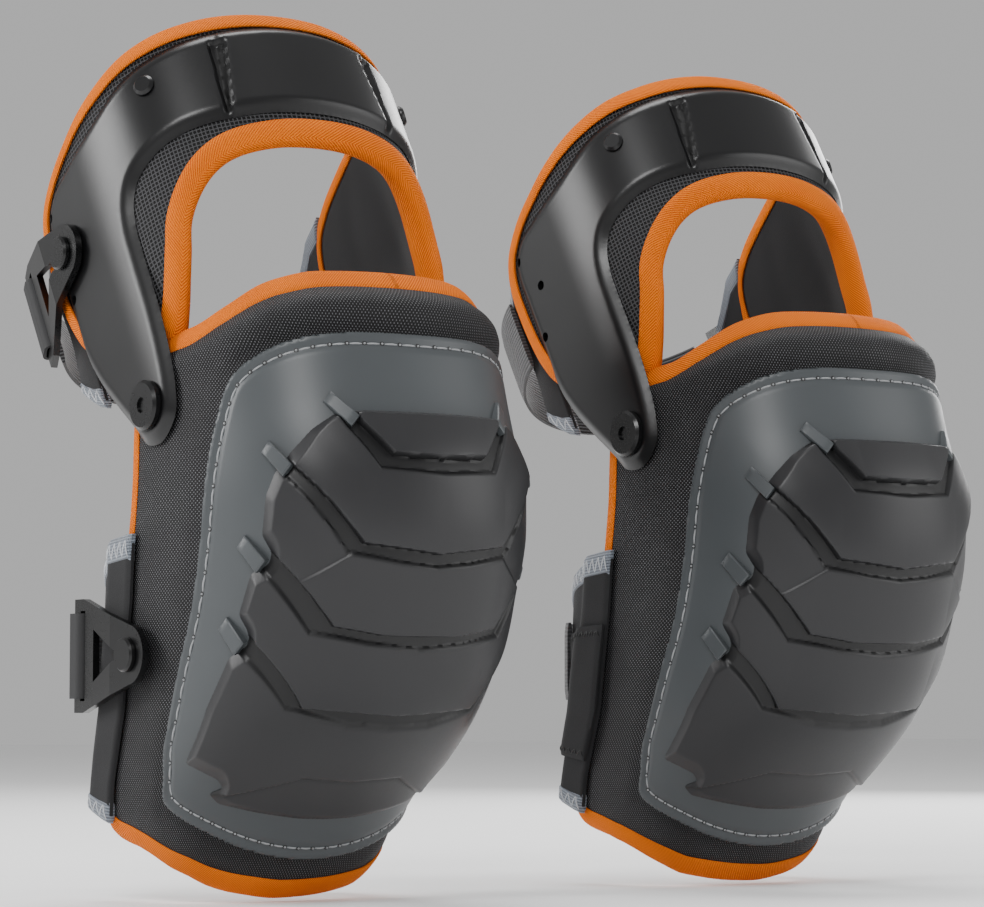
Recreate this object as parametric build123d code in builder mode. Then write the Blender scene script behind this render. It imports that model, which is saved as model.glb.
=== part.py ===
# A pair of hinged knee pads, in millimetres.
# Each pad has a deep lower shell for the knee and an arched thigh guard on two side hinges.
# X runs across the pair, the fronts face -Y and Z is up. The hinge axis of both pads is the X axis.
import math
import os

from build123d import *

os.makedirs("parts", exist_ok=True)

# ---------------------------------------------------------------- pair and pose
PAD_SPACING = 252.0
THIGH_TILT = 30.0

# ---------------------------------------------------------------- lower pad, cover surface
KNEE_Z = [-215.0, -190.0, -165.0, -125.0, -80.0, -32.0, 0.0, 30.0, 62.0]
KNEE_HALF = [50.5, 56.5, 62.0, 68.0, 72.0, 74.0, 73.0, 70.0, 64.0]
KNEE_FRONT = [16.0, 3.0, -13.0, -58.0, -83.0, -93.0, -84.0, -75.0, -59.0]
KNEE_CENTRE = [51.0, 47.0, 40.0, 20.0, 5.0, 0.0, 0.0, 0.0, 0.0]
KNEE_BACK = [68.0, 61.0, 54.0, 37.0, 25.0, 16.0, 15.0, 11.0, 9.0]
KNEE_FULLNESS = 0.664
TAPE_WIDTH = 9.0
LAYER_GAP = 0.3
COVER_THICK = 2.7
FOAM_INNER = -10.7
LINER_OUTER = -11.0
LINER_INNER = -13.0
TAPE_PROUD = 0.8
TAPE_INNER = -13.8
GEL_OUTER = -4.6
GEL_INNER = -8.6
GEL_HALF_WIDTH = 30.0
GEL_HALF_HEIGHT = 45.0
GEL_HEIGHT = -62.0

# lower pad outline seen from the front
TOP_EDGE = [(-96, 20), (-75, 25), (-67, 38), (-56, 50), (-38, 55), (0, 56)]
BOTTOM_EDGE = [(-96, -150), (-72, -172), (-60, -188), (-38, -200), (0, -205)]

# ---------------------------------------------------------------- cap and armour
CAP_THICK = 3.0
CAP_FRONT_EDGE = [(0, 27), (-34, 26.5), (-54, 23), (-68, 11), (-79, -12), (-79, -130),
                  (-66, -152), (-56, -165), (-42, -176), (-20, -185), (0, -187)]
CAP_SIDE_EDGE = [(-32, 40), (-34, -10), (-33, -40), (-24, -80), (-9, -112), (8, -141), (13, -153), (12, -195)]
ARMOUR_BASE = 4.6
ARMOUR_TOP = 7.0
ARMOUR_EDGE = [(0, -7), (-30, -7), (-38, -11), (-50, -21), (-57, -36), (-60, -50), (-60, -62), (-56, -74),
               (-61, -86), (-57, -98), (-59, -112), (-59, -130), (-57, -144), (-42, -161), (-16, -167), (0, -168)]
GROOVES = [[(-40, -4), (-21, -24), (0, -25)],
           [(-64, -20), (-31, -57), (0, -60)],
           [(-64, -60), (-25, -101), (0, -104)],
           [(-66, -92), (-29, -123), (0, -127)],
           [(-64, -163), (-16, -148), (0, -148)]]
GROOVE_WIDTH = 2.6
TAB_PLACES = [(-39, -6, 42), (-56, -25, 45), (-59, -66, 48), (-61, -94, 50)]
TAB_LENGTH = 19.0
TAB_WIDTH = 6.0
TAB_TOP = 8.4

# ---------------------------------------------------------------- hinges
ARM_INNER = 75.8
ARM_THICK = 3.0
HINGE_RADIUS = 16.5
RIVET_SHANK = 4.0
RIVET_CLEAR = 0.05
RIVET_HEAD = 10.4
RIVET_HEAD_HEIGHT = 3.2
RIVET_FLANGE = 9.0
WASHER_RADIUS = 10.0
WASHER_FACE = 73.6
WASHER_THICK = 1.6

# ---------------------------------------------------------------- thigh guard, before it is tilted
THIGH_HALF = ARM_INNER + ARM_THICK
THIGH_FRONT = 72.0
THIGH_FULLNESS = 0.64
THIGH_LOW = -22.0
THIGH_HIGH = 180.0
SHELL_UPPER = [(16.5, 0), (20, 8), (26, 20), (33, 34), (35, 46), (35, 108), (32, 120), (24, 127), (-13, 134),
               (-36, 143), (-54, 148), (-74, 154), (-100, 158)]
SHELL_LOWER = [(-100, 109), (-72, 108), (-52, 105.5), (-39, 101.5), (-29, 94), (-23.5, 85), (-21.5, 74),
               (-21, 30), (-19, 12), (-16.5, 0)]
PAD_UPPER = [(36, 42), (43, 62), (47, 90), (46, 114), (40, 128), (28, 137), (9, 145), (-13, 151),
             (-35, 157), (-53, 160.5), (-74, 163), (-110, 166)]
PAD_LOWER = [(-110, 95), (-74, 95), (-62, 91), (-52, 83), (-45, 70), (-42, 54), (-38, 47), (-30, 43), (-20, 43),
             (0, 46), (20, 40)]
THIGH_PAD_OUTER = -3.4
THIGH_PAD_INNER = -12.0
THIGH_LINER_OUTER = -12.3
THIGH_LINER_INNER = -14.3
THIGH_TAPE_OUTER = -3.3
THIGH_TAPE_INNER = -15.0
THIGH_TAPE_WIDTH = 8.5
RIB_PLACE = 38.0
RIB_WIDTH = 3.0
RIB_TOP = 1.6
RIB_LOW = 107.0
RIB_HIGH = 142.0
DOME_RADIUS = 4.6
DOME_HEIGHT = 2.0
DOME_PLACE = (-45.3, 133.0)
SPARE_HOLES = [(20.0, 97.0), (28.5, 116.0), (28.5, 74.0)]
SPARE_HOLE_RADIUS = 2.3

# ---------------------------------------------------------------- hooks
STUD_HEAD = 7.2
STUD_SHANK = 3.0
STUD_BASE = 6.5
HOOK_THICK = 3.0
HOOK_REACH = 50.0
HOOK_HALF = 24.0
HOOK_NOSE = 12.5
HOOK_SLOT = 4.6
HOOK_BAR = 6.0
HOOK_FLAT = 14.0
LOOP_LENGTH = 12.0
LOOP_DEPTH = 7.4
LOOP_WEB = 1.5
THIGH_STUD = (22.0, 93.0)
THIGH_HOOK_BEND = 20.0
CALF_STUD = (16.0, -102.0)
CALF_HOOK_BEND = 6.0
THIGH_HOOK_FACE = THIGH_HALF + 1.4
CALF_HOOK_FACE = 75.6

# ---------------------------------------------------------------- wings and straps
WING_THICK = 3.0
WING_TAPE_EXTRA = 0.7
WING_TAPE_WIDTH = 10.0
CALF_WING_TOP = [(18, -52), (40, -55), (60, -61), (76, -72), (84, -82)]
CALF_WING_BOTTOM = [(18, -181), (40, -177), (60, -171), (76, -164), (84, -158)]
THIGH_WING_TOP = [(49, 133), (62, 130), (76, 123), (90, 114)]
THIGH_WING_BOTTOM = [(49, 31), (68, 49), (80, 61), (90, 70)]
STRAP_THICK = 2.5
STRAP_HALF = 18.0

SPAN = 140.0


def wrap_outline(half, front, centre, rear, fullness):
    """The closed outline of one section: a full rounded front and a flat back."""
    reach = centre - fullness * (centre - front)
    Bezier((-half, centre), (-half, reach), (-half * fullness, front), (0, front))
    Bezier((0, front), (half * fullness, front), (half, reach), (half, centre))
    Line((half, centre), (half, rear))
    Line((half, rear), (-half, rear))
    Line((-half, rear), (-half, centre))


def knee_lean(index):
    """How much the front leans at one height, so that a layer keeps its thickness."""
    low = max(index - 1, 0)
    high = min(index + 1, len(KNEE_Z) - 1)
    slope = (KNEE_FRONT[high] - KNEE_FRONT[low]) / (KNEE_Z[high] - KNEE_Z[low])
    return math.hypot(1.0, slope)


def knee_solid(out, back):
    """The lower pad as a full solid, its sides moved out and its flat back moved back."""
    with BuildPart() as body:
        for index, height in enumerate(KNEE_Z):
            half = KNEE_HALF[index] + out
            front = KNEE_FRONT[index] - out * knee_lean(index)
            with BuildSketch(Plane.XY.offset(height)):
                with BuildLine():
                    wrap_outline(half, front, KNEE_CENTRE[index], KNEE_BACK[index] + back, KNEE_FULLNESS)
                make_face()
        loft()
    return body.part


def thigh_solid(out, back=60.0):
    """The thigh guard as a full solid with one section all the way up."""
    with BuildPart() as body:
        with BuildSketch(Plane.XY.offset(THIGH_LOW)):
            with BuildLine():
                wrap_outline(THIGH_HALF + out, -THIGH_FRONT - out, 0.0, back, THIGH_FULLNESS)
            make_face()
        extrude(amount=THIGH_HIGH - THIGH_LOW)
    return body.part


def mirrored(points):
    """A left half-outline and its mirror image, as one run of points."""
    return list(points) + [(-x, z) for x, z in reversed(points) if x != 0]


def front_prism(inset=0.0):
    """The outline of the lower pad seen from the front, run through from front to back."""
    with BuildPart() as prism:
        with BuildSketch(Plane.XZ):
            with BuildLine():
                Polyline(*mirrored(TOP_EDGE), *reversed(mirrored(BOTTOM_EDGE)), close=True)
            make_face()
            if inset:
                offset(amount=-inset, kind=Kind.INTERSECTION)
        extrude(amount=SPAN, both=True)
    return prism.part


def side_prism(points, reach=SPAN):
    """A closed side view, run through from side to side."""
    with BuildPart() as prism:
        with BuildSketch(Plane.YZ):
            with BuildLine():
                Polyline(*points, close=True)
            make_face()
        extrude(amount=reach, both=True)
    return prism.part


def edge_prism(upper, lower, inset=0.0):
    """A side view between an upper and a lower edge, run through from side to side."""
    with BuildPart() as prism:
        with BuildSketch(Plane.YZ):
            with BuildLine():
                Polyline(*upper, *lower, close=True)
            make_face()
            if inset:
                offset(amount=-inset, kind=Kind.INTERSECTION)
        extrude(amount=SPAN, both=True)
    return prism.part


def front_polygon(points):
    """A closed front view, run forward from the middle of the pad."""
    with BuildPart() as prism:
        with BuildSketch(Plane.XZ):
            with BuildLine():
                Polyline(*points, close=True)
            make_face()
        extrude(amount=SPAN, both=True)
    return prism.part


def side_rod(radius, start, end, y=0.0, z=0.0):
    """A round rod along X between two distances from the middle plane."""
    with BuildPart() as rod:
        with BuildSketch(Plane.YZ.offset(start)):
            with Locations((y, z)):
                Circle(radius)
        extrude(amount=end - start)
    return rod.part


def both_sides(part):
    """A part and its mirror image about the middle plane of the pad."""
    with BuildPart() as pair:
        add(part)
        add(mirror(part, about=Plane.YZ))
    return pair.part


# ---------------------------------------------------------------- lower pad layers
KNEE_PRISM = front_prism()
KNEE_INNER_PRISM = front_prism(TAPE_WIDTH)
HINGE_HOLE = side_rod(RIVET_SHANK + 0.2, -SPAN, SPAN)
HINGE_RECESS = side_rod(RIVET_FLANGE + LAYER_GAP, -66.0, 66.0)


def knee_layer(outer, inner):
    """One layer of the lower pad inside its edge tape."""
    solid = knee_solid(outer, 0.0)
    hollow = knee_solid(inner, 40.0)
    with BuildPart() as layer:
        add(solid)
        add(hollow, mode=Mode.SUBTRACT)
        add(KNEE_INNER_PRISM, mode=Mode.INTERSECT)
        add(HINGE_HOLE, mode=Mode.SUBTRACT)
    return layer.part


def make_knee_cover():
    return knee_layer(-0.05, -COVER_THICK)


def make_knee_foam():
    layer = knee_layer(-COVER_THICK - LAYER_GAP, FOAM_INNER)
    pocket = gel_block(LAYER_GAP)
    with BuildPart() as foam:
        add(layer)
        add(pocket, mode=Mode.SUBTRACT)
        add(HINGE_RECESS, mode=Mode.SUBTRACT)
    return foam.part


def gel_block(grow):
    """The gel insert, or the pocket it sits in."""
    outer = knee_solid(GEL_OUTER + grow, 0.0)
    inner = knee_solid(GEL_INNER - grow, 40.0)
    with BuildPart() as block:
        with BuildSketch(Plane.XZ):
            with Locations((0, GEL_HEIGHT)):
                Ellipse(GEL_HALF_WIDTH + grow, GEL_HALF_HEIGHT + grow)
        extrude(amount=SPAN)
        add(outer, mode=Mode.INTERSECT)
        add(inner, mode=Mode.SUBTRACT)
    return block.part


def make_knee_gel():
    return gel_block(0.0)


def make_knee_liner():
    layer = knee_layer(LINER_OUTER, LINER_INNER)
    with BuildPart() as liner:
        add(layer)
        add(HINGE_RECESS, mode=Mode.SUBTRACT)
    return liner.part


def make_knee_binding():
    solid = knee_solid(TAPE_PROUD, TAPE_WIDTH)
    hollow = knee_solid(TAPE_INNER, 60.0)
    keep_out = knee_solid(12.0, 0.1)
    with BuildPart() as core:
        add(keep_out)
        add(KNEE_INNER_PRISM, mode=Mode.INTERSECT)
    with BuildPart() as tape:
        add(solid)
        add(hollow, mode=Mode.SUBTRACT)
        add(KNEE_PRISM, mode=Mode.INTERSECT)
        add(core.part, mode=Mode.SUBTRACT)
    return tape.part


# ---------------------------------------------------------------- cap
def cap_layer(outer, inner):
    """One layer of the cap, cut to the cap's front and side outlines."""
    solid = knee_solid(outer, 0.0)
    hollow = knee_solid(inner, 40.0)
    front = front_polygon(mirrored(CAP_FRONT_EDGE)[:-1])
    side = side_prism(CAP_SIDE_EDGE + [(-SPAN, -195), (-SPAN, 40)])
    with BuildPart() as layer:
        add(solid)
        add(hollow, mode=Mode.SUBTRACT)
        add(front, mode=Mode.INTERSECT)
        add(side, mode=Mode.INTERSECT)
    return layer.part


def make_cap_base():
    return cap_layer(CAP_THICK, 0.05)


def groove_tool():
    """The channels between the armour plates, as one solid."""
    with BuildPart() as tool:
        with BuildSketch(Plane.XZ):
            for groove in GROOVES:
                with BuildLine() as path:
                    Polyline(*mirrored(groove))
                trace(line_width=GROOVE_WIDTH)
        extrude(amount=SPAN)
    return tool.part


def make_cap_armour():
    solid = knee_solid(ARMOUR_TOP, 0.0)
    hollow = knee_solid(CAP_THICK + 0.05, 40.0)
    floor = knee_solid(ARMOUR_BASE, 40.0)
    outline = front_polygon(mirrored(ARMOUR_EDGE))
    channels = groove_tool()
    with BuildPart() as cut:
        add(channels)
        add(floor, mode=Mode.SUBTRACT)
    with BuildPart() as armour:
        add(solid)
        add(hollow, mode=Mode.SUBTRACT)
        add(outline, mode=Mode.INTERSECT)
        with BuildSketch(Plane.XZ):
            Rectangle(2 * SPAN, 4 * SPAN)
        extrude(amount=SPAN, mode=Mode.INTERSECT)
        add(cut.part, mode=Mode.SUBTRACT)
        add(make_cap_tab_space(), mode=Mode.SUBTRACT)
    return armour.part


def tab_prism(grow):
    """The outline of the eight locking tabs, run forward."""
    with BuildPart() as tool:
        with BuildSketch(Plane.XZ):
            for x, z, turn in TAB_PLACES:
                for side in (-1, 1):
                    with Locations(Location((side * -x, z, 0), (0, 0, side * turn))):
                        Rectangle(TAB_LENGTH + grow, TAB_WIDTH + grow)
        extrude(amount=SPAN)
    return tool.part


def make_cap_tab_space():
    return tab_prism(2 * LAYER_GAP)


def make_cap_tabs():
    solid = knee_solid(TAB_TOP, 0.0)
    hollow = knee_solid(CAP_THICK + 0.05, 40.0)
    with BuildPart() as tabs:
        add(tab_prism(0.0))
        add(solid, mode=Mode.INTERSECT)
        add(hollow, mode=Mode.SUBTRACT)
    return tabs.part


# ---------------------------------------------------------------- hinges
def make_hinge_rivets():
    with BuildPart() as rivet:
        with BuildSketch(Plane.YZ.offset(62.5)):
            Circle(RIVET_FLANGE)
        extrude(amount=2.5)
        with BuildSketch(Plane.YZ.offset(62.5)):
            Circle(RIVET_SHANK)
        extrude(amount=THIGH_HALF + 0.3 - 62.5)
        with BuildSketch(Plane.YZ.offset(THIGH_HALF + 0.3)):
            Circle(RIVET_HEAD)
        extrude(amount=RIVET_HEAD_HEIGHT)
        rim = rivet.edges().group_by(Axis.X)[-1]
        chamfer(rim, length=1.2)
        with BuildSketch(Plane.YZ.offset(THIGH_HALF + 0.3 + RIVET_HEAD_HEIGHT)):
            Circle(3.2)
        extrude(amount=-1.2, mode=Mode.SUBTRACT)
    return both_sides(rivet.part)


def make_hinge_washers():
    with BuildPart() as washer:
        with BuildSketch(Plane.YZ.offset(WASHER_FACE)):
            Circle(WASHER_RADIUS)
            Circle(RIVET_SHANK + 0.2, mode=Mode.SUBTRACT)
        extrude(amount=WASHER_THICK)
    return both_sides(washer.part)


# ---------------------------------------------------------------- thigh guard
def thigh_layer(outer, inner, prism):
    """One layer of the thigh guard, cut to a side view."""
    solid = thigh_solid(outer)
    hollow = thigh_solid(inner, 80.0)
    with BuildPart() as layer:
        add(solid)
        add(hollow, mode=Mode.SUBTRACT)
        add(prism, mode=Mode.INTERSECT)
    return layer.part


def shell_prism():
    """Side view of the shell: arch, arm and the round hinge end."""
    with BuildPart() as prism:
        with BuildSketch(Plane.YZ):
            with BuildLine():
                Polyline(*SHELL_UPPER, *SHELL_LOWER, close=True)
            make_face()
            Circle(HINGE_RADIUS)
        extrude(amount=SPAN, both=True)
    return prism.part


def make_thigh_shell():
    layer = thigh_layer(0.0, -ARM_THICK, shell_prism())
    ribs_out = thigh_solid(RIB_TOP)
    core = thigh_solid(-0.5, 80.0)
    with BuildPart() as ribs:
        with BuildSketch(Plane.XZ):
            for side in (-1, 1):
                with Locations((side * RIB_PLACE, (RIB_LOW + RIB_HIGH) / 2)):
                    Rectangle(RIB_WIDTH, RIB_HIGH - RIB_LOW)
        extrude(amount=SPAN)
        add(ribs_out, mode=Mode.INTERSECT)
        add(core, mode=Mode.SUBTRACT)
    with BuildPart() as shell:
        add(layer)
        add(ribs.part)
        add(side_rod(RIVET_SHANK + RIVET_CLEAR, -SPAN, SPAN), mode=Mode.SUBTRACT)
        for y, z in SPARE_HOLES:
            add(side_rod(SPARE_HOLE_RADIUS, 60.0, SPAN, y, z), mode=Mode.SUBTRACT)
        for y, z in SPARE_HOLES[1:]:
            add(side_rod(SPARE_HOLE_RADIUS, -SPAN, -60.0, y, z), mode=Mode.SUBTRACT)
        add(side_rod(STUD_SHANK, -SPAN, -60.0, *THIGH_STUD), mode=Mode.SUBTRACT)
    return shell.part


def thigh_edge_split():
    """The half of the side view that holds the upper edge of the thigh pad."""
    points = [(-SPAN, 128), (-40, 128), (0, 100), (25, 60), (30, 40), (30, 20), (120, 20), (120, 200), (-SPAN, 200)]
    return side_prism(points)


THIGH_PRISM = edge_prism(PAD_UPPER, PAD_LOWER)
THIGH_INNER_PRISM = edge_prism(PAD_UPPER, PAD_LOWER, THIGH_TAPE_WIDTH)


def make_thigh_pad():
    return thigh_layer(THIGH_PAD_OUTER, THIGH_PAD_INNER, THIGH_INNER_PRISM)


def make_thigh_liner():
    return thigh_layer(THIGH_LINER_OUTER, THIGH_LINER_INNER, THIGH_INNER_PRISM)


def thigh_tape():
    """The edge tape all round the thigh pad."""
    layer = thigh_layer(THIGH_TAPE_OUTER, THIGH_TAPE_INNER, THIGH_PRISM)
    with BuildPart() as tape:
        add(layer)
        add(edge_prism(PAD_UPPER, PAD_LOWER, THIGH_TAPE_WIDTH - 0.05), mode=Mode.SUBTRACT)
    return tape.part


def make_thigh_outer_binding():
    tape = thigh_tape()
    with BuildPart() as upper:
        add(tape)
        add(thigh_edge_split(), mode=Mode.INTERSECT)
    return upper.part


def make_thigh_inner_binding():
    tape = thigh_tape()
    with BuildPart() as lower:
        add(tape)
        add(thigh_edge_split(), mode=Mode.SUBTRACT)
    return lower.part


def dome_spot():
    """Where a dome sits on the shell and the way it faces."""
    y, height = DOME_PLACE
    with BuildLine() as curve:
        reach = -THIGH_FRONT * THIGH_FULLNESS
        Bezier((0, -THIGH_FRONT), (THIGH_HALF * THIGH_FULLNESS, -THIGH_FRONT), (THIGH_HALF, reach), (THIGH_HALF, 0))
    edge = curve.edges()[0]
    low, high = 0.0, 1.0
    for _ in range(30):
        middle = (low + high) / 2
        if (edge @ middle).Y < y:
            low = middle
        else:
            high = middle
    point = edge @ low
    along = edge % low
    return point.X, y, height, (along.Y, -along.X, 0)


def make_thigh_rivets():
    side, y, height, outward = dome_spot()
    plane = Plane(origin=(side, y, height), z_dir=outward).offset(0.35)
    with BuildPart() as dome:
        with BuildSketch(plane):
            Circle(DOME_RADIUS)
        extrude(amount=DOME_HEIGHT)
        chamfer(dome.faces().sort_by(lambda f: (f.center() - Vector(0, 0, height)).length)[-1].edges(), length=1.2)
    return both_sides(dome.part)


# ---------------------------------------------------------------- studs and hooks
def stud(surface, face, spot):
    """A button on the outer side: base, shank and head, the hook plate runs on the shank."""
    y, z = spot
    head_at = face + HOOK_THICK + 0.3
    with BuildPart() as button:
        add(side_rod(STUD_BASE, -face + 0.3, -surface - 0.05, y, z))
        add(side_rod(STUD_SHANK - RIVET_CLEAR, -head_at, -face + 0.3, y, z))
        add(side_rod(STUD_HEAD, -head_at - 2.4, -head_at, y, z))
        rim = button.edges().group_by(Axis.X)[0]
        chamfer(rim, length=0.9)
    return button.part


def make_thigh_stud():
    return stud(THIGH_HALF, THIGH_HOOK_FACE, THIGH_STUD)


def make_calf_stud():
    return stud(73.4, CALF_HOOK_FACE, CALF_STUD)


def hook_outline(spot):
    """Side view of the hook plate, stud at one end and the strap slot at the other."""
    y, z = spot
    with BuildPart() as prism:
        with BuildSketch(Plane.YZ):
            with BuildLine():
                nose = HOOK_NOSE * 0.985
                Polyline((y + HOOK_REACH, z - HOOK_HALF), (y + HOOK_REACH, z + HOOK_HALF),
                         (y + HOOK_REACH - 9, z + HOOK_HALF), (y - 2, z + nose),
                         (y - 2, z - nose), (y + HOOK_REACH - 9, z - HOOK_HALF), close=True)
            make_face()
            with Locations((y, z)):
                Circle(HOOK_NOSE)
            with BuildLine():
                Polyline((y + 31, z - 11), (y + 31, z + 11), (y + 12, z + 2.3), (y - 0, z + 2.3),
                         (y - 0, z - 2.3), (y + 12, z - 2.3), close=True)
            make_face(mode=Mode.SUBTRACT)
            with Locations((y + HOOK_REACH - HOOK_BAR - HOOK_SLOT / 2, z)):
                Rectangle(HOOK_SLOT, 2 * STRAP_HALF + 2, mode=Mode.SUBTRACT)
            with Locations((y, z)):
                Circle(STUD_SHANK, mode=Mode.SUBTRACT)
        extrude(amount=-SPAN)
    return prism.part


def hook_plate(face, spot, bend):
    """The hook plate, its rear half bent in round the leg."""
    y, z = spot
    turn = math.radians(bend)
    start = y + HOOK_FLAT
    run = HOOK_REACH + 6.0 - HOOK_FLAT
    dx = run * math.sin(turn)
    dy = run * math.cos(turn)
    tx = HOOK_THICK * math.cos(turn)
    ty = HOOK_THICK * math.sin(turn)
    lean = HOOK_THICK * math.tan(turn / 2)
    with BuildPart() as plate:
        with BuildSketch(Plane.XY.offset(z - HOOK_HALF)):
            with BuildLine():
                Polyline((-face, y - 16), (-face, start), (-face + dx, start + dy),
                         (-face + dx - tx, start + dy + ty), (-face - HOOK_THICK, start + lean),
                         (-face - HOOK_THICK, y - 16), close=True)
            make_face()
        extrude(amount=2 * HOOK_HALF)
        add(hook_outline(spot), mode=Mode.INTERSECT)
    return plate.part


def make_thigh_hook():
    return hook_plate(THIGH_HOOK_FACE, THIGH_STUD, THIGH_HOOK_BEND)


def make_calf_hook():
    return hook_plate(CALF_HOOK_FACE, CALF_STUD, CALF_HOOK_BEND)


def strap_loop(face, spot, bend):
    """Webbing folded round the bar at the end of the hook plate."""
    y, z = spot
    turn = math.radians(bend)
    reach = HOOK_REACH - HOOK_BAR / 2 - HOOK_FLAT
    bar_x = -face - HOOK_THICK / 2 + reach * math.tan(turn)
    bar_y = y + HOOK_FLAT + reach
    spot_plane = Location((bar_x, bar_y, z - STRAP_HALF), (0, 0, -bend))
    with BuildPart() as loop:
        with BuildSketch(Plane.XY):
            SlotOverall(LOOP_LENGTH, LOOP_DEPTH, rotation=90)
            SlotOverall(LOOP_LENGTH - 2 * LOOP_WEB, LOOP_DEPTH - 2 * LOOP_WEB, rotation=90, mode=Mode.SUBTRACT)
        extrude(amount=2 * STRAP_HALF)
    return loop.part.moved(spot_plane)


def make_thigh_strap_loop():
    return strap_loop(THIGH_HOOK_FACE, THIGH_STUD, THIGH_HOOK_BEND)


def make_calf_strap_loop():
    return strap_loop(CALF_HOOK_FACE, CALF_STUD, CALF_HOOK_BEND)


# ---------------------------------------------------------------- wings and straps
def oval_band(half, depth, thick, centre, low, high, cut_y):
    """The rear part of an upright oval band."""
    with BuildPart() as band:
        with BuildSketch(Plane.XY.offset(low)):
            with Locations((0, centre)):
                Ellipse(half, depth)
                Ellipse(half - thick, depth - thick, mode=Mode.SUBTRACT)
            with Locations((0, cut_y - SPAN)):
                Rectangle(4 * SPAN, 2 * SPAN, mode=Mode.SUBTRACT)
        extrude(amount=high - low)
    return band.part


def trim_back(part, limit):
    """Only what lies in front of one distance."""
    with BuildPart() as trimmed:
        add(part)
        with BuildSketch(Plane.XY.offset(-3 * SPAN)):
            with Locations((0, limit + SPAN)):
                Rectangle(4 * SPAN, 2 * SPAN)
        extrude(amount=6 * SPAN, mode=Mode.SUBTRACT)
    return trimmed.part


def between(top, bottom, drop=0.0, rise=0.0):
    """Side view between an upper and a lower line, run through from side to side."""
    points = [(y, z - drop) for y, z in top]
    points += [(y, z + rise) for y, z in reversed(bottom)]
    return side_prism(points)


def wing_panel(band, top, bottom):
    """A wing without its two edge tapes."""
    with BuildPart() as panel:
        add(band)
        add(between(top, bottom, WING_TAPE_WIDTH, WING_TAPE_WIDTH), mode=Mode.INTERSECT)
    return panel.part


def wing_edges(band, top, bottom):
    """The two edge tapes of a wing."""
    width = WING_TAPE_WIDTH - 0.05
    with BuildPart() as strips:
        add(between(top, [(y, z - width) for y, z in top]))
        add(between([(y, z + width) for y, z in bottom], bottom))
    with BuildPart() as edges:
        add(band)
        add(strips.part, mode=Mode.INTERSECT)
    return edges.part


def make_calf_wings():
    band = trim_back(oval_band(69.0, 60.0, WING_THICK, 36.0, -182.0, -50.0, 18.0), 84.0)
    with BuildPart() as wings:
        add(wing_panel(band, CALF_WING_TOP, CALF_WING_BOTTOM))
        add(knee_solid(12.0, TAPE_WIDTH + 0.3), mode=Mode.SUBTRACT)
    return wings.part


def make_calf_wing_tapes():
    extra = WING_TAPE_EXTRA
    band = oval_band(69.0 + extra, 60.0 + extra, WING_THICK + 2 * extra, 36.0, -182.0, -50.0, 18.0)
    with BuildPart() as tapes:
        add(wing_edges(trim_back(band, 84.0), CALF_WING_TOP, CALF_WING_BOTTOM))
        add(knee_solid(12.0, TAPE_WIDTH + 0.3), mode=Mode.SUBTRACT)
    return tapes.part


def strap_band(half, depth, centre, height, outer_start, inner_start):
    """The strap round the back of the leg, from the hook side to the far wing."""
    low = height - STRAP_HALF
    high = height + STRAP_HALF
    band = oval_band(half, depth, STRAP_THICK, centre, low, high, inner_start)
    with BuildPart() as strap:
        add(band)
        with BuildSketch(Plane.XY.offset(low - 1)):
            with Locations((-SPAN, outer_start - SPAN)):
                Rectangle(2 * SPAN, 2 * SPAN)
        extrude(amount=high - low + 2, mode=Mode.SUBTRACT)
    return strap.part


def make_calf_strap():
    return strap_band(73.0, 64.0, 36.0, CALF_STUD[1], 75.0, 58.0)


def make_thigh_wings():
    band = trim_back(oval_band(68.0, 62.0, WING_THICK, 42.0, 30.0, 135.0, 49.5), 90.0)
    return wing_panel(band, THIGH_WING_TOP, THIGH_WING_BOTTOM)


def make_thigh_wing_tapes():
    extra = WING_TAPE_EXTRA
    band = oval_band(68.0 + extra, 62.0 + extra, WING_THICK + 2 * extra, 42.0, 30.0, 135.0, 49.5)
    return wing_edges(trim_back(band, 90.0), THIGH_WING_TOP, THIGH_WING_BOTTOM)


def make_thigh_strap():
    return strap_band(71.9, 65.9, 42.0, THIGH_STUD[1], 80.0, 58.0)


# ---------------------------------------------------------------- place and write
KNEE_NODES = {
    "knee_cover": make_knee_cover,
    "knee_foam": make_knee_foam,
    "knee_gel": make_knee_gel,
    "knee_liner": make_knee_liner,
    "knee_binding": make_knee_binding,
    "cap_base": make_cap_base,
    "cap_armour": make_cap_armour,
    "cap_tabs": make_cap_tabs,
    "hinge_rivets": make_hinge_rivets,
    "hinge_washers": make_hinge_washers,
    "calf_wings": make_calf_wings,
    "calf_wing_tapes": make_calf_wing_tapes,
    "calf_strap": make_calf_strap,
    "calf_stud": make_calf_stud,
    "calf_hook": make_calf_hook,
    "calf_strap_loop": make_calf_strap_loop,
}
THIGH_NODES = {
    "thigh_shell": make_thigh_shell,
    "thigh_pad": make_thigh_pad,
    "thigh_liner": make_thigh_liner,
    "thigh_outer_binding": make_thigh_outer_binding,
    "thigh_inner_binding": make_thigh_inner_binding,
    "thigh_rivets": make_thigh_rivets,
    "thigh_wings": make_thigh_wings,
    "thigh_wing_tapes": make_thigh_wing_tapes,
    "thigh_strap": make_thigh_strap,
    "thigh_stud": make_thigh_stud,
    "thigh_hook": make_thigh_hook,
    "thigh_strap_loop": make_thigh_strap_loop,
}


def place(name, part):
    """Write one piece for the right pad and its mirror image for the left pad."""
    with BuildPart() as right:
        add(part.moved(Location((-PAD_SPACING / 2, 0, 0))))
    with BuildPart() as left:
        add(mirror(right.part, about=Plane.YZ))
    right.part.label = "right_" + name
    left.part.label = "left_" + name
    export_step(right.part, "parts/right_" + name + ".step")
    export_step(left.part, "parts/left_" + name + ".step")


for node, maker in KNEE_NODES.items():
    place(node, maker())
for node, maker in THIGH_NODES.items():
    place(node, maker().rotate(Axis.X, -THIGH_TILT))
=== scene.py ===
import math

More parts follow.
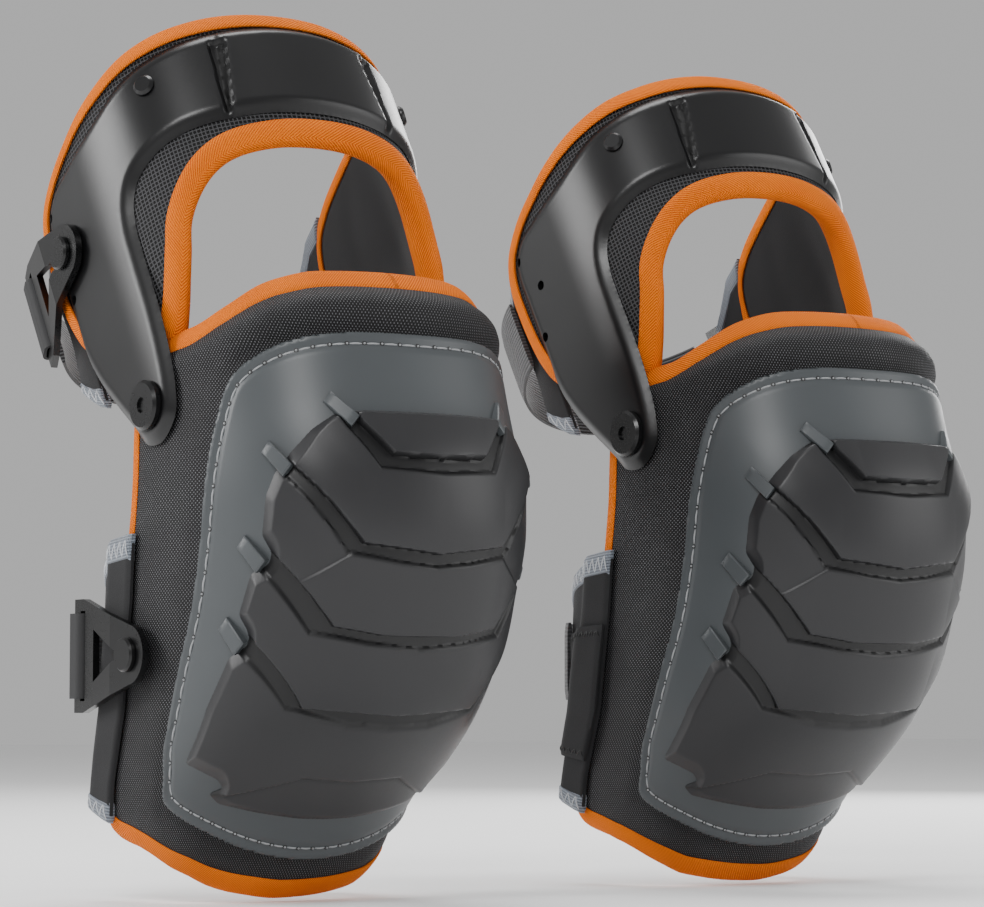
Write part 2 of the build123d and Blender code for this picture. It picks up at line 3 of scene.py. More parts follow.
import bpy
import numpy as np
from mathutils import Matrix, Vector
from mathutils.kdtree import KDTree


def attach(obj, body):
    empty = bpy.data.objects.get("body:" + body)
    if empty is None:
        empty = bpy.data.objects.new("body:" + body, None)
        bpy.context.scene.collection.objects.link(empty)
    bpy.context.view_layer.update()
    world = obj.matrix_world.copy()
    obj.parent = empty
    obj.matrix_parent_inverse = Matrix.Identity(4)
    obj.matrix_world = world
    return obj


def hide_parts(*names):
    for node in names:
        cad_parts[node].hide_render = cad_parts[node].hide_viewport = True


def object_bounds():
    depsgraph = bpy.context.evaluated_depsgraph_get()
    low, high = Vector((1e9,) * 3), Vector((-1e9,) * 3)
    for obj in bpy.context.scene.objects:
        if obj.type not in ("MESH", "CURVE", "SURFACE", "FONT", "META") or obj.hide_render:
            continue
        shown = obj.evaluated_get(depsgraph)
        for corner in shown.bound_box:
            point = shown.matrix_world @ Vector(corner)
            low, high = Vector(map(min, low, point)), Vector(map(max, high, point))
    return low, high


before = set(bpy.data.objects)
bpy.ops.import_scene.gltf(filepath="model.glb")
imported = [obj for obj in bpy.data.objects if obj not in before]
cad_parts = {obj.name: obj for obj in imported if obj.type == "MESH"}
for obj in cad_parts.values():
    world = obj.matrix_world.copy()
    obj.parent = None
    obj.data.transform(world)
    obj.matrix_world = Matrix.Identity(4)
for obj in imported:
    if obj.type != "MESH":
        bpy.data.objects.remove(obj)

CAD_BOX = [list(corner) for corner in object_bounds()]

# All shapes below are worked out in millimetres in one pad's own frame and scaled at the end.
MM = 0.001
SPACING = 252.0
TILT = math.radians(30.0)
SIDES = (("right_", -1.0), ("left_", 1.0))

# Lower pad: heights and, for each, half width, front, centre of the rounded part and rear edge.
KNEE_Z = [-215.0, -190.0, -165.0, -125.0, -80.0, -32.0, 0.0, 30.0, 62.0]
KNEE_HALF = [50.5, 56.5, 62.0, 68.0, 72.0, 74.0, 73.0, 70.0, 64.0]
KNEE_FRONT = [16.0, 3.0, -13.0, -58.0, -83.0, -93.0, -84.0, -75.0, -59.0]
KNEE_CENTRE = [51.0, 47.0, 40.0, 20.0, 5.0, 0.0, 0.0, 0.0, 0.0]
# RUN is the length of wall from the front to where the side runs straight back,
# and FULL is how square its corner is.
KNEE_RUN = 140.0
KNEE_FULL = 0.664
THIGH_RUN = 115.0
THIGH_FULL = 0.64
THIGH_HALF = 78.8
THIGH_FRONT = 72.0
TAPE_WIDTH = 9.0


# ------------------------------------------------------------------ surfaces
def hermite(z, levels, values):
    """A smooth curve through values at levels."""
    levels = np.array(levels)
    values = np.array(values)
    slope = np.gradient(values, levels)
    z = np.clip(z, levels[0], levels[-1])
    i = np.clip(np.searchsorted(levels, z) - 1, 0, len(levels) - 2)
    h = levels[i + 1] - levels[i]
    t = (z - levels[i]) / h
    return ((2 * t**3 - 3 * t**2 + 1) * values[i] + (t**3 - 2 * t**2 + t) * h * slope[i]
            + (-2 * t**3 + 3 * t**2) * values[i + 1] + (t**3 - t**2) * h * slope[i + 1])


class Form:
    """A curved wall: p runs round it from the front centre line, z runs up it.
    Each kind of wall gives its half width, front and centre at a height with sizes(z)."""

    def __init__(self, run, full, tilt=0.0):
        self.run = run
        self.full = full
        self.tilt = tilt
        t = np.linspace(0, 1, 401)
        self.t = t
        self.bx = 3 * (1 - t)**2 * t * full + 3 * (1 - t) * t**2 + t**3
        self.by = (1 - t)**3 + 3 * (1 - t)**2 * t + 3 * (1 - t) * t**2 * full

    def p_of_x(self, x, z):
        half, front, centre = self.sizes(z)
        return np.sign(x) * self.run * np.interp(np.abs(x) / half, self.bx, self.t)

    def p_of_y(self, y, z):
        half, front, centre = self.sizes(z)
        share = (centre - y) / (centre - front)
        inside = self.run * np.interp(-np.clip(share, 0, 1), -self.by, self.t)
        return np.where(y > centre, self.run + (y - centre), inside)

    def raw(self, p, z):
        half, front, centre = self.sizes(z)
        a = np.abs(p) / self.run
        t = np.minimum(a, 1.0)
        x = 3 * (1 - t)**2 * t * self.full + 3 * (1 - t) * t**2 + t**3
        y = (1 - t)**3 + 3 * (1 - t)**2 * t + 3 * (1 - t) * t**2 * self.full
        over = np.maximum(a - 1.0, 0.0) * self.run
        return np.stack([np.sign(p) * half * x, centre - (centre - front) * y + over, z + 0 * p], -1)

    def at(self, p, z, h=0.0):
        """Points h mm outside the wall, in the pad's frame."""
        p = np.asarray(p, float)
        z = np.asarray(z, float)
        e = 0.4
        across = self.raw(p + e, z) - self.raw(p - e, z)
        up = self.raw(p, z + e) - self.raw(p, z - e)
        normal = np.cross(across, up)
        normal /= np.maximum(np.linalg.norm(normal, axis=-1, keepdims=True), 1e-9)
        points = self.raw(p, z) + normal * np.asarray(h)[..., None]
        return turned(points, self.tilt)


def turned(points, tilt):
    """Points leaned back about the hinge axis."""
    c, s = math.cos(tilt), math.sin(tilt)
    x, y, z = points[..., 0], points[..., 1], points[..., 2]
    return np.stack([x, y * c + z * s, -y * s + z * c], -1)


class Knee(Form):
    def sizes(self, z):
        return tuple(hermite(z, KNEE_Z, values) for values in (KNEE_HALF, KNEE_FRONT, KNEE_CENTRE))


class Thigh(Form):
    def sizes(self, z):
        one = np.ones_like(np.asarray(z, float))
        return THIGH_HALF * one, -THIGH_FRONT * one, 0.0 * one


knee = Knee(KNEE_RUN, KNEE_FULL)
thigh = Thigh(THIGH_RUN, THIGH_FULL, TILT)


def step(value, low, high):
    t = np.clip((value - low) / (high - low), 0.0, 1.0)
    return t * t * (3 - 2 * t)


def outline(form, right_half):
    """A closed outline on a form. right_half goes from the top centre round to the bottom centre.
    Each entry is ("x", x, z) or ("y", y, z)."""
    right = []
    for kind, value, z in right_half:
        p = form.p_of_x(value, z) if kind == "x" else form.p_of_y(value, z)
        right.append((float(p), float(z)))
    left = [(-p, z) for p, z in reversed(right) if abs(p) > 1e-6]
    return catmull(np.array(right + left), 1.0)


def dense(loop, spacing):
    """A closed outline with more points on its straight stretches."""
    points = []
    for a, b in zip(loop, np.roll(loop, -1, axis=0)):
        n = max(int(np.linalg.norm(b - a) / spacing), 1)
        for k in range(n):
            points.append(a + (b - a) * k / n)
    return np.array(points)


def catmull(loop, spacing, closed=True):
    """A smooth curve through the points, evenly spaced."""
    n = len(loop)
    fine = []
    spans = n if closed else n - 1
    for i in range(spans):
        if closed:
            a, b, c, d = loop[i - 1], loop[i], loop[(i + 1) % n], loop[(i + 2) % n]
        else:
            a, b, c, d = loop[max(i - 1, 0)], loop[i], loop[i + 1], loop[min(i + 2, n - 1)]
        la, lb, lc = (max(np.linalg.norm(v)**0.5, 1e-6) for v in (b - a, c - b, d - c))
        for t in np.linspace(0, 1, 24, endpoint=False):
            m1 = lb * ((b - a) / la - (c - a) / (la + lb)) + (c - b) if la > 1e-5 else c - b
            m2 = lb * ((d - c) / lc - (d - b) / (lc + lb)) + (c - b) if lc > 1e-5 else c - b
            fine.append((2 * t**3 - 3 * t**2 + 1) * b + (t**3 - 2 * t**2 + t) * m1
                        + (-2 * t**3 + 3 * t**2) * c + (t**3 - t**2) * m2)
    fine = np.array(fine + ([fine[0]] if closed else [loop[-1]]))
    run = run_along(fine)
    count = max(int(run[-1] / spacing), 8)
    want = np.linspace(0, run[-1], count, endpoint=not closed)
    return np.stack([np.interp(want, run, fine[:, k]) for k in range(fine.shape[1])], -1)


def into(loop, rounds):
    """The direction into a closed outline at each of its points."""
    tangent = np.roll(loop, -1, 0) - np.roll(loop, 1, 0)
    for _ in range(rounds):
        tangent = (tangent + np.roll(tangent, 1, 0) + np.roll(tangent, -1, 0)) / 3
    tangent /= np.linalg.norm(tangent, axis=1, keepdims=True)
    area = np.sum(loop[:, 0] * np.roll(loop[:, 1], -1) - np.roll(loop[:, 0], -1) * loop[:, 1])
    sign = 1.0 if area > 0 else -1.0
    return sign * np.stack([-tangent[:, 1], tangent[:, 0]], -1)


def inward(loop, amount):
    """A closed outline moved in by amount."""
    return loop + amount * into(loop, 3)


def run_along(points):
    """The distance along a line of points."""
    return np.concatenate([[0], np.cumsum(np.linalg.norm(np.diff(points, axis=0), axis=1))])


def inside(points, loop):
    """Which points lie inside a closed outline."""
    result = np.zeros(len(points), bool)
    x, y = points[:, 0], points[:, 1]
    for i in range(len(loop)):
        (x1, y1), (x2, y2) = loop[i], loop[(i + 1) % len(loop)]
        if y1 == y2:
            continue
        cross = ((y1 > y) != (y2 > y)) & (x < (x2 - x1) * (y - y1) / (y2 - y1) + x1)
        result ^= cross
    return result


def distance(points, loop):
    """Distance from each point to an outline and the nearest point on it."""
    tree = KDTree(len(loop))
    for i, q in enumerate(loop):
        tree.insert((q[0], q[1], 0.0), i)
    tree.balance()
    found = np.empty(len(points))
    near = np.empty((len(points), 2))
    for i, q in enumerate(points):
        co, _, d = tree.find((q[0], q[1], 0.0))
        found[i] = d
        near[i] = co[:2]
    return found, near


# ------------------------------------------------------------------ meshes
def clear_selection():
    if bpy.context.object and bpy.context.object.mode != "OBJECT":
        bpy.ops.object.mode_set(mode="OBJECT")
    bpy.ops.object.select_all(action="DESELECT")


def activate(obj):
    clear_selection()
    obj.select_set(True)
    bpy.context.view_layer.objects.active = obj


def values_of(items, name, width=1, kind=float):
    """One property of all of a mesh's vertices, edges, corners or faces."""
    found = np.zeros(len(items) * width, kind)
    items.foreach_get(name, found)
    return found.reshape(-1, width) if width > 1 else found


def cut_sheet(loop, pitch):
    """A flat grid cut to an outline, its rim snapped on to it.
    Returns the object and each point's p and z."""
    low, high = loop.min(0) - pitch, loop.max(0) + pitch
    nx = int(math.ceil((high[0] - low[0]) / pitch))
    ny = int(math.ceil((high[1] - low[1]) / pitch))
    clear_selection()
    bpy.ops.mesh.primitive_grid_add(x_subdivisions=nx, y_subdivisions=ny, size=1.0)
    obj = bpy.context.object
    mesh = obj.data
    co = values_of(mesh.vertices, "co", 3)
    middle = (low + high) / 2
    co[:, 0] = middle[0] + co[:, 0] * nx * pitch
    co[:, 1] = middle[1] + co[:, 1] * ny * pitch
    mesh.vertices.foreach_set("co", co.ravel())
    centres = co[values_of(mesh.polygons, "vertices", 4, int)].mean(1)
    keep = inside(centres[:, :2], loop)
    activate(obj)
    bpy.ops.object.mode_set(mode="EDIT")
    bpy.context.tool_settings.mesh_select_mode = (False, False, True)
    bpy.ops.mesh.select_all(action="DESELECT")
    bpy.ops.object.mode_set(mode="OBJECT")
    mesh.polygons.foreach_set("select", ~keep)
    bpy.ops.object.mode_set(mode="EDIT")
    bpy.ops.mesh.delete(type="FACE")
    bpy.ops.object.mode_set(mode="OBJECT")
    flat = values_of(mesh.vertices, "co", 3)[:, :2].copy()
    rim = np.nonzero(rim_mask(mesh))[0]
    _, near = distance(flat[rim], dense(loop, 0.15))
    flat[rim] = near
    relax(mesh, flat, rim)
    return obj, flat


def rim_mask(mesh):
    """Which points of a sheet lie on its rim."""
    rim = np.zeros(len(mesh.vertices), bool)
    for a, b in edge_rim(mesh):
        rim[a] = rim[b] = True
    return rim


def edge_rim(mesh):
    """Edges with one face, as ordered pairs in the face's own direction."""
    loops = values_of(mesh.loops, "edge_index", kind=int)
    count = np.bincount(loops, minlength=len(mesh.edges))
    verts = values_of(mesh.loops, "vertex_index", kind=int)
    pairs = []
    for face in mesh.polygons:
        s, n = face.loop_start, face.loop_total
        if count[loops[s:s + n]].min() > 1:
            continue
        for k in range(n):
            if count[loops[s + k]] == 1:
                pairs.append((verts[s + k], verts[s + (k + 1) % n]))
    return pairs


def relax(mesh, flat, rim):
    """Evens out the cells just inside the rim, the rim held still."""
    edges = values_of(mesh.edges, "vertices", 2, int)
    near = np.zeros(len(flat), bool)
    near[rim] = True
    for _ in range(3):
        touch = near[edges[:, 0]] | near[edges[:, 1]]
        near[edges[touch].ravel()] = True
    near[rim] = False
    degree = np.bincount(edges.ravel(), minlength=len(flat))
    for _ in range(6):
        total = np.zeros_like(flat)
        np.add.at(total, edges[:, 0], flat[edges[:, 1]])
        np.add.at(total, edges[:, 1], flat[edges[:, 0]])
        flat[near] += 0.5 * (total[near] / degree[near][:, None] - flat[near])


def set_points(obj, points):
    obj.data.vertices.foreach_set("co", (np.asarray(points) * MM).ravel())
    obj.data.update()


def add_uv(obj, flat):
    """The piece's own map: p and z in units of 100 mm."""
    mesh = obj.data
    layer = mesh.uv_layers[0] if mesh.uv_layers else mesh.uv_layers.new(name="UVMap")
    corners = values_of(mesh.loops, "vertex_index", kind=int)
    layer.data.foreach_set("uv", (flat[corners] / 100.0).ravel())


def wall(obj, low_points, flat):
    """Closes the rim of a relief with a short wall down to low_points, given for every vertex."""
    mesh = obj.data
    pairs = edge_rim(mesh)
    rim = sorted({v for pair in pairs for v in pair})
    base = len(mesh.vertices)
    where = {v: base + k for k, v in enumerate(rim)}
    mesh.vertices.add(len(rim))
    for v, k in where.items():
        mesh.vertices[k].co = low_points[v] * MM
    new_flat = np.concatenate([flat, flat[rim]])
    start_loop, start_face = len(mesh.loops), len(mesh.polygons)
    mesh.loops.add(4 * len(pairs))
    mesh.polygons.add(len(pairs))
    index = []
    for a, b in pairs:
        index += [b, a, where[a], where[b]]
    corners = values_of(mesh.loops, "vertex_index", kind=int)
    corners[start_loop:] = index
    mesh.loops.foreach_set("vertex_index", corners)
    starts = values_of(mesh.polygons, "loop_start", kind=int)
    starts[start_face:] = start_loop + 4 * np.arange(len(pairs))
    mesh.polygons.foreach_set("loop_start", starts)
    mesh.update(calc_edges=True)
    mesh.validate()
    return new_flat


def relief(name, form, loop, pitch, height, floor, angle=40):
    """A moulded or sewn layer: a cut sheet wrapped on a form with a height for every point, and a mask
    of painted shade where height gives one.
    """
    obj, flat = cut_sheet(loop, pitch)
    obj.name = name
    obj.data.name = name
    d, _ = distance(flat, dense(loop, 0.3))
    h = height(flat, d)
    sunk = np.zeros(len(h))
    if isinstance(h, tuple):
        h, sunk = h
    set_points(obj, form.at(flat[:, 0], flat[:, 1], h))
    low = form.at(flat[:, 0], flat[:, 1], np.full(len(flat), floor))
    flat = wall(obj, low, flat)
    add_uv(obj, flat)
    # Painted shade: a point attribute, 1 in sunk bands and grooves, which the moulded material darkens.
    attribute = obj.data.attributes.new("sunk", "FLOAT", "POINT")
    attribute.data.foreach_set("value", np.concatenate([sunk, np.zeros(len(flat) - len(sunk))]))
    smooth(obj, angle)
    return obj


def smooth(obj, angle=35):
    activate(obj)
    bpy.ops.object.shade_smooth_by_angle(angle=math.radians(angle))


def mesh_object(name, points, faces, uv=None):
    """An object from points in mm and faces, uv given for every point."""
    mesh = bpy.data.meshes.new(name)
    mesh.from_pydata((np.asarray(points) * MM).tolist(), [], [tuple(int(v) for v in f) for f in faces])
    obj = bpy.data.objects.new(name, mesh)
    bpy.context.scene.collection.objects.link(obj)
    if uv is not None:
        add_uv(obj, np.asarray(uv))
    mesh.update()
    return obj


def strip(rows, cols, closed_rows=False, closed_cols=False):
    """Faces of a grid of points, row after row."""
    faces = []
    for i in range(rows if closed_rows else rows - 1):
        here, there = i * cols, (i + 1) % rows * cols
        for k in range(cols if closed_cols else cols - 1):
            after = (k + 1) % cols
            faces.append((here + k, here + after, there + after, there + k))
    return faces


def fix_normals(obj):
    activate(obj)
    bpy.ops.object.mode_set(mode="EDIT")
    bpy.ops.mesh.select_all(action="SELECT")
    bpy.ops.mesh.normals_make_consistent(inside=False)
    bpy.ops.object.mode_set(mode="OBJECT")


def join(name, objects):
    clear_selection()
    for obj in objects:
        obj.select_set(True)
    bpy.context.view_layer.objects.active = objects[0]
    bpy.ops.object.join()
    objects[0].name = name
    objects[0].data.name = name
    return objects[0]


# ------------------------------------------------------------------ materials
class Nodes:
    """A short way to write a material's node tree."""

    def __init__(self, name, **sockets):
        self.material = bpy.data.materials.new(name)
        self.material.use_nodes = True
        self.tree = self.material.node_tree
        self.shader = self.tree.nodes["Principled BSDF"]
        for key, value in sockets.items():
            self.shader.inputs[key.replace("_", " ")].default_value = value

    def node(self, kind, **values):
        node = self.tree.nodes.new(kind)
        links = values.pop("links", {})
        for key, value in values.items():
            setattr(node, key, value)
        for key, value in links.items():
            self.feed(node, key, value)
        return node

    def feed(self, node, key, value):
        socket = node.inputs[key]
        if isinstance(value, bpy.types.NodeSocket):
            self.tree.links.new(value, socket)
        else:
            socket.default_value = value

    def math(self, operation, a, b=0.0, c=0.0):
        node = self.node("ShaderNodeMath", operation=operation, links={0: a, 1: b, 2: c})
        return node.outputs[0]

    def ramp(self, value, *stops):
        node = self.node("ShaderNodeValToRGB", links={"Fac": value})
        elements = node.color_ramp.elements
        while len(elements) < len(stops):
            elements.new(0.5)
        for element, (place, colour) in zip(elements, stops):
            element.position = place
            element.color = (*colour, 1.0)
        return node.outputs["Color"]

    def object_co(self):
        return self.node("ShaderNodeTexCoord").outputs["Object"]

    def uv(self):
        own_map = self.node("ShaderNodeTexCoord").outputs["UV"]
        split = self.node("ShaderNodeSeparateXYZ", links={0: own_map})
        return split.outputs["X"], split.outputs["Y"]

    def noise(self, scale, detail=3.0, rough=0.5):
        node = self.node("ShaderNodeTexNoise", links={
            "Vector": self.object_co(), "Scale": scale, "Detail": detail, "Roughness": rough})
        return node.outputs["Fac"]

    def bump(self, height, strength, distance):
        node = self.node("ShaderNodeBump", links={
            "Height": height, "Strength": strength, "Distance": distance})
        self.feed(self.shader, "Normal", node.outputs["Normal"])

    def wave(self, coordinate, pitch_mm):
        """A smooth 0 to 1 wave along a map coordinate that is in units of 100 mm."""
        turn = self.math("MULTIPLY", coordinate, 2 * math.pi * 100.0 / pitch_mm)
        return self.math("MULTIPLY_ADD", self.math("SINE", turn), 0.5, 0.5)

    def mix(self, factor, a, b):
        node = self.node("ShaderNodeMix", data_type="RGBA", links={"Factor": factor})
        self.feed(node, 6, a if isinstance(a, bpy.types.NodeSocket) else (*a, 1.0))
        self.feed(node, 7, b if isinstance(b, bpy.types.NodeSocket) else (*b, 1.0))
        return node.outputs[2]


def ballistic_cloth():
    """Black basket weave with painted highlights on its thread crowns."""
    n = Nodes("ballistic_cloth", Roughness=0.62, Specular_IOR_Level=0.25)
    u, v = n.uv()
    a = n.wave(n.math("ADD", u, v), 1.75)
    b = n.wave(n.math("SUBTRACT", u, v), 1.75)
    crown = n.math("MULTIPLY", a, b)
    # Painted highlight: the weave's crowns are made pale grey where light would catch them, over
    # near-black cloth.
    crown_highlight = n.math("MULTIPLY", n.math("SUBTRACT", crown, 0.45), 2.6)
    crown_highlight = n.node("ShaderNodeClamp", links={0: crown_highlight}).outputs[0]
    patch = n.math("MULTIPLY_ADD", n.noise(60.0, 2.0), 0.7, 0.45)
    tone = n.math("MULTIPLY", crown_highlight, patch)
    n.feed(n.shader, "Base Color", n.mix(tone, (0.0035, 0.0035, 0.004), (0.17, 0.17, 0.18)))
    n.bump(crown, 0.75, 0.0005)
    return n.material


def twill_tape(name, light, dark):
    """Herringbone binding tape: slanting ribs that meet along the middle."""
    n = Nodes(name, Roughness=0.8, Specular_IOR_Level=0.15)
    u, v = n.uv()
    fold = n.math("ABSOLUTE", n.math("SUBTRACT", v, 0.1))
    ribs = n.wave(n.math("ADD", u, n.math("MULTIPLY", fold, 1.2)), 1.55)
    cross = n.wave(n.math("SUBTRACT", u, n.math("MULTIPLY", fold, 2.2)), 0.8)
    relief_height = n.math("MULTIPLY_ADD", cross, 0.35, ribs)
    tone = n.math("MULTIPLY_ADD", ribs, 0.75, n.math("MULTIPLY", n.noise(45.0, 4.0), 0.35))
    n.feed(n.shader, "Base Color", n.ramp(tone, (0.1, dark), (0.85, light)))
    n.bump(relief_height, 0.8, 0.0006)
    return n.material


def moulded(name, colour, rough, bump=0.08, clear=0.0, shade=0.0):
    """Moulded plastic with a fine grain, slight flow marks and scuffed patches, and painted shade in its
    sunk bands and grooves.
    """
    n = Nodes(name, Coat_Weight=clear, Coat_Roughness=0.35, Specular_IOR_Level=0.38)
    fine = n.noise(900.0, 2.0)
    broad = n.noise(14.0, 4.0, 0.6)
    base = n.mix(broad, tuple(c * 0.88 for c in colour), tuple(c * 1.12 for c in colour))
    # Painted shade: the point attribute from relief darkens the colour towards 0.18 of itself in sunk
    # bands and grooves, where shade falls.
    if shade:
        sunk = n.node("ShaderNodeAttribute", attribute_name="sunk").outputs["Fac"]
        base = n.mix(n.math("MULTIPLY", sunk, shade), base, tuple(c * 0.18 for c in colour))
    n.feed(n.shader, "Base Color", base)
    scuffs = n.math("MULTIPLY_ADD", fine, 0.06, rough - 0.09)
    n.feed(n.shader, "Roughness", n.math("MULTIPLY_ADD", broad, 0.12, scuffs))
    n.bump(fine, bump, 0.0002)
    return n.material


def knit(name, colour, pitch, strength=0.4, sheen=0.3):
    """Knitted face of neoprene or a brushed lining."""
    n = Nodes(name, Roughness=0.85, Sheen_Weight=sheen * 0.4, Sheen_Roughness=0.6,
              Specular_IOR_Level=0.2)
    fine = n.noise(2200.0 / pitch, 3.0, 0.7)
    broad = n.noise(30.0, 3.0)
    tone = n.math("MULTIPLY_ADD", broad, 0.5, n.math("MULTIPLY", fine, 0.5))
    n.feed(n.shader, "Base Color", n.ramp(tone, (0.3, tuple(c * 0.6 for c in colour)),
                                          (0.75, tuple(c * 1.5 for c in colour))))
    n.bump(fine, strength, 0.0004)
    return n.material


def ribbed_elastic(name, light, dark, pitch=1.3):
    """Woven elastic: cords along its length and a finer cross weave."""
    n = Nodes(name, Roughness=0.7, Sheen_Weight=0.25, Sheen_Roughness=0.5)
    u, v = n.uv()
    cords = n.wave(v, pitch)
    picks = n.wave(u, 0.9)
    height = n.math("MULTIPLY_ADD", picks, 0.4, cords)
    tone = n.math("MULTIPLY_ADD", n.noise(70.0, 3.0), 0.4, n.math("MULTIPLY", cords, 0.6))
    n.feed(n.shader, "Base Color", n.ramp(tone, (0.15, dark), (0.85, light)))
    n.bump(height, 0.7, 0.0005)
    return n.material


def spacer_mesh():
    """Open honeycomb mesh over black foam."""
    n = Nodes("spacer_mesh", Roughness=0.75, Specular_IOR_Level=0.2)
    u, v = n.uv()
    at = n.node("ShaderNodeCombineXYZ", links={0: u, 1: v, 2: 0.0}).outputs[0]
    cells = n.node("ShaderNodeTexVoronoi", feature="DISTANCE_TO_EDGE", voronoi_dimensions="2D",
                   links={"Vector": at, "Scale": 52.0, "Randomness": 0.12})
    wallness = n.ramp(cells.outputs["Distance"], (0.12, (1, 1, 1)), (0.22, (0, 0, 0)))
    n.feed(n.shader, "Base Color", n.mix(wallness, (0.002, 0.002, 0.002), (0.05, 0.05, 0.053)))
    n.bump(wallness, 0.9, 0.0006)
    return n.material


def thread(name, colour):
    """Twisted sewing thread."""
    n = Nodes(name, Roughness=0.55)
    twist = n.noise(1800.0, 2.0)
    n.feed(n.shader, "Base Color", n.mix(twist, tuple(c * 0.6 for c in colour), colour))
    n.bump(twist, 0.4, 0.0002)
    return n.material


def webbing_weave():
    """Black webbing with its picks shifted from one cord to the next."""
    n = Nodes("webbing_weave", Roughness=0.7)
    u, v = n.uv()
    rows = n.wave(v, 2.2)
    shift = n.math("MULTIPLY", n.math("ROUND", n.math("MULTIPLY", v, 45.0)), 0.011)
    picks = n.wave(n.math("ADD", u, shift), 1.6)
    height = n.math("MULTIPLY", rows, picks)
    n.feed(n.shader, "Base Color", n.ramp(height, (0.25, (0.008, 0.008, 0.009)),
                                          (0.9, (0.10, 0.10, 0.105))))
    n.bump(height, 0.9, 0.0006)
    return n.material


MATERIALS = {
    "ballistic_fabric": ballistic_cloth(),
    "orange_tape": twill_tape("orange_twill", (1.0, 0.24, 0.0), (0.60, 0.075, 0.0)),
    # shade sets how strongly painted shade darkens the sunk bands, grooves and facets of cap, armour and
    # shell.
    "grey_cap": moulded("cap_grey", (0.050, 0.056, 0.060), 0.42, bump=0.05, clear=0.05, shade=0.5),
    "charcoal_armour": moulded("armour_charcoal", (0.017, 0.017, 0.0185), 0.43, bump=0.08, shade=0.8),
    "black_plastic": moulded("clip_black", (0.003, 0.003, 0.0033), 0.28, bump=0.04),
    "black_shell": moulded("shell_black", (0.0045, 0.0045, 0.005), 0.33, bump=0.05, shade=0.7),
    "neoprene": knit("neoprene_knit", (0.012, 0.012, 0.013), 1.0, 0.4, 0.12),
    "lining": knit("brushed_lining", (0.009, 0.009, 0.010), 1.2, 0.25, 0.2),
    "grey_tape": ribbed_elastic("grey_elastic", (0.20, 0.23, 0.27), (0.07, 0.08, 0.10)),
    "strap_elastic": ribbed_elastic("strap_elastic", (0.03, 0.03, 0.034), (0.008, 0.008, 0.009), 1.8),
    "webbing": webbing_weave(),
    "mesh_fabric": spacer_mesh(),
}
THREAD_GREY = thread("thread_grey", (0.34, 0.35, 0.36))
THREAD_WHITE = thread("thread_white", (0.55, 0.57, 0.60))
THREAD_BLACK = thread("thread_black", (0.012, 0.012, 0.012))
# Painted shade: near-black discs stand in for the shade inside the needle holes.
HOLE_SHADE = thread("eyelet_dark", (0.008, 0.008, 0.008))


# ------------------------------------------------------------------ placing pieces
def paint(obj, material):
    obj.data.materials.clear()
    obj.data.materials.append(material)


def place_pair(obj, body, slot_name, replaces=(), material=None):
    """Puts a finished pad piece on the right pad and its mirror image on the left pad."""
    if material is None:
        material = MATERIALS[slot_name]
    if not obj.data.materials:
        paint(obj, material)
    for prefix, side in SIDES:
        copy = bpy.data.objects.new(prefix + obj.name, obj.data.copy())
        copy.data.name = prefix + obj.name
        bpy.context.scene.collection.objects.link(copy)
        if side > 0:
            copy.data.transform(Matrix.Scale(-1.0, 4, Vector((1, 0, 0))))
            copy.data.flip_normals()
        copy.data.transform(Matrix.Translation(Vector((side * SPACING / 2 * MM, 0, 0))))
        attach(copy, prefix + body)
        if replaces:
            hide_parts(*[prefix + node for node in replaces])
    bpy.data.objects.remove(obj)


# ------------------------------------------------------------------ lower pad
KNEE_EDGE = outline(knee, [
    ("x", 0, 56), ("x", 24, 55.6), ("x", 40, 54), ("x", 54, 49), ("x", 64, 40),
    ("y", -16, 33), ("y", 4, 29), ("y", 17, 22), ("y", 24, 8), ("y", 24.5, -8), ("y", 25, -32),
    ("y", 34, -80), ("y", 46, -125), ("y", 62, -160), ("y", 64, -175),
    ("x", 56, -187), ("x", 40, -198.5), ("x", 20, -203.5), ("x", 0, -205)])
CAP_EDGE = outline(knee, [
    ("x", 0, 27), ("x", 20, 27), ("x", 34, 26.4), ("x", 47, 24), ("x", 57.5, 18.5), ("x", 64.8, 9),
    ("y", -39, -8), ("y", -35, -30), ("y", -30, -60), ("y", -22, -85), ("y", -8, -113),
    ("y", 7, -140), ("y", 12, -152),
    ("x", 59, -162), ("x", 43, -176), ("x", 20, -184.5), ("x", 0, -186.5)])
PAD_MIDDLE = -5.5


def tucked(form, flat):
    """How far a piece moves in where the thigh pad goes down behind the lower pad."""
    if form is not thigh:
        return np.zeros(len(flat))
    return -4.0 * (1 - step(flat[:, 1], 24, 62)) * (1 - step(np.abs(flat[:, 0]) - THIGH_RUN, -6, 14))


def pillow(d, reach, top, bottom):
    """Front and back heights of a padded slab that closes round its edge."""
    t = np.clip(d / reach, 0, 1)
    bulge = np.sqrt(np.maximum(1 - (1 - t)**2, 0))
    return PAD_MIDDLE + (top - PAD_MIDDLE) * bulge, PAD_MIDDLE + (bottom - PAD_MIDDLE) * bulge


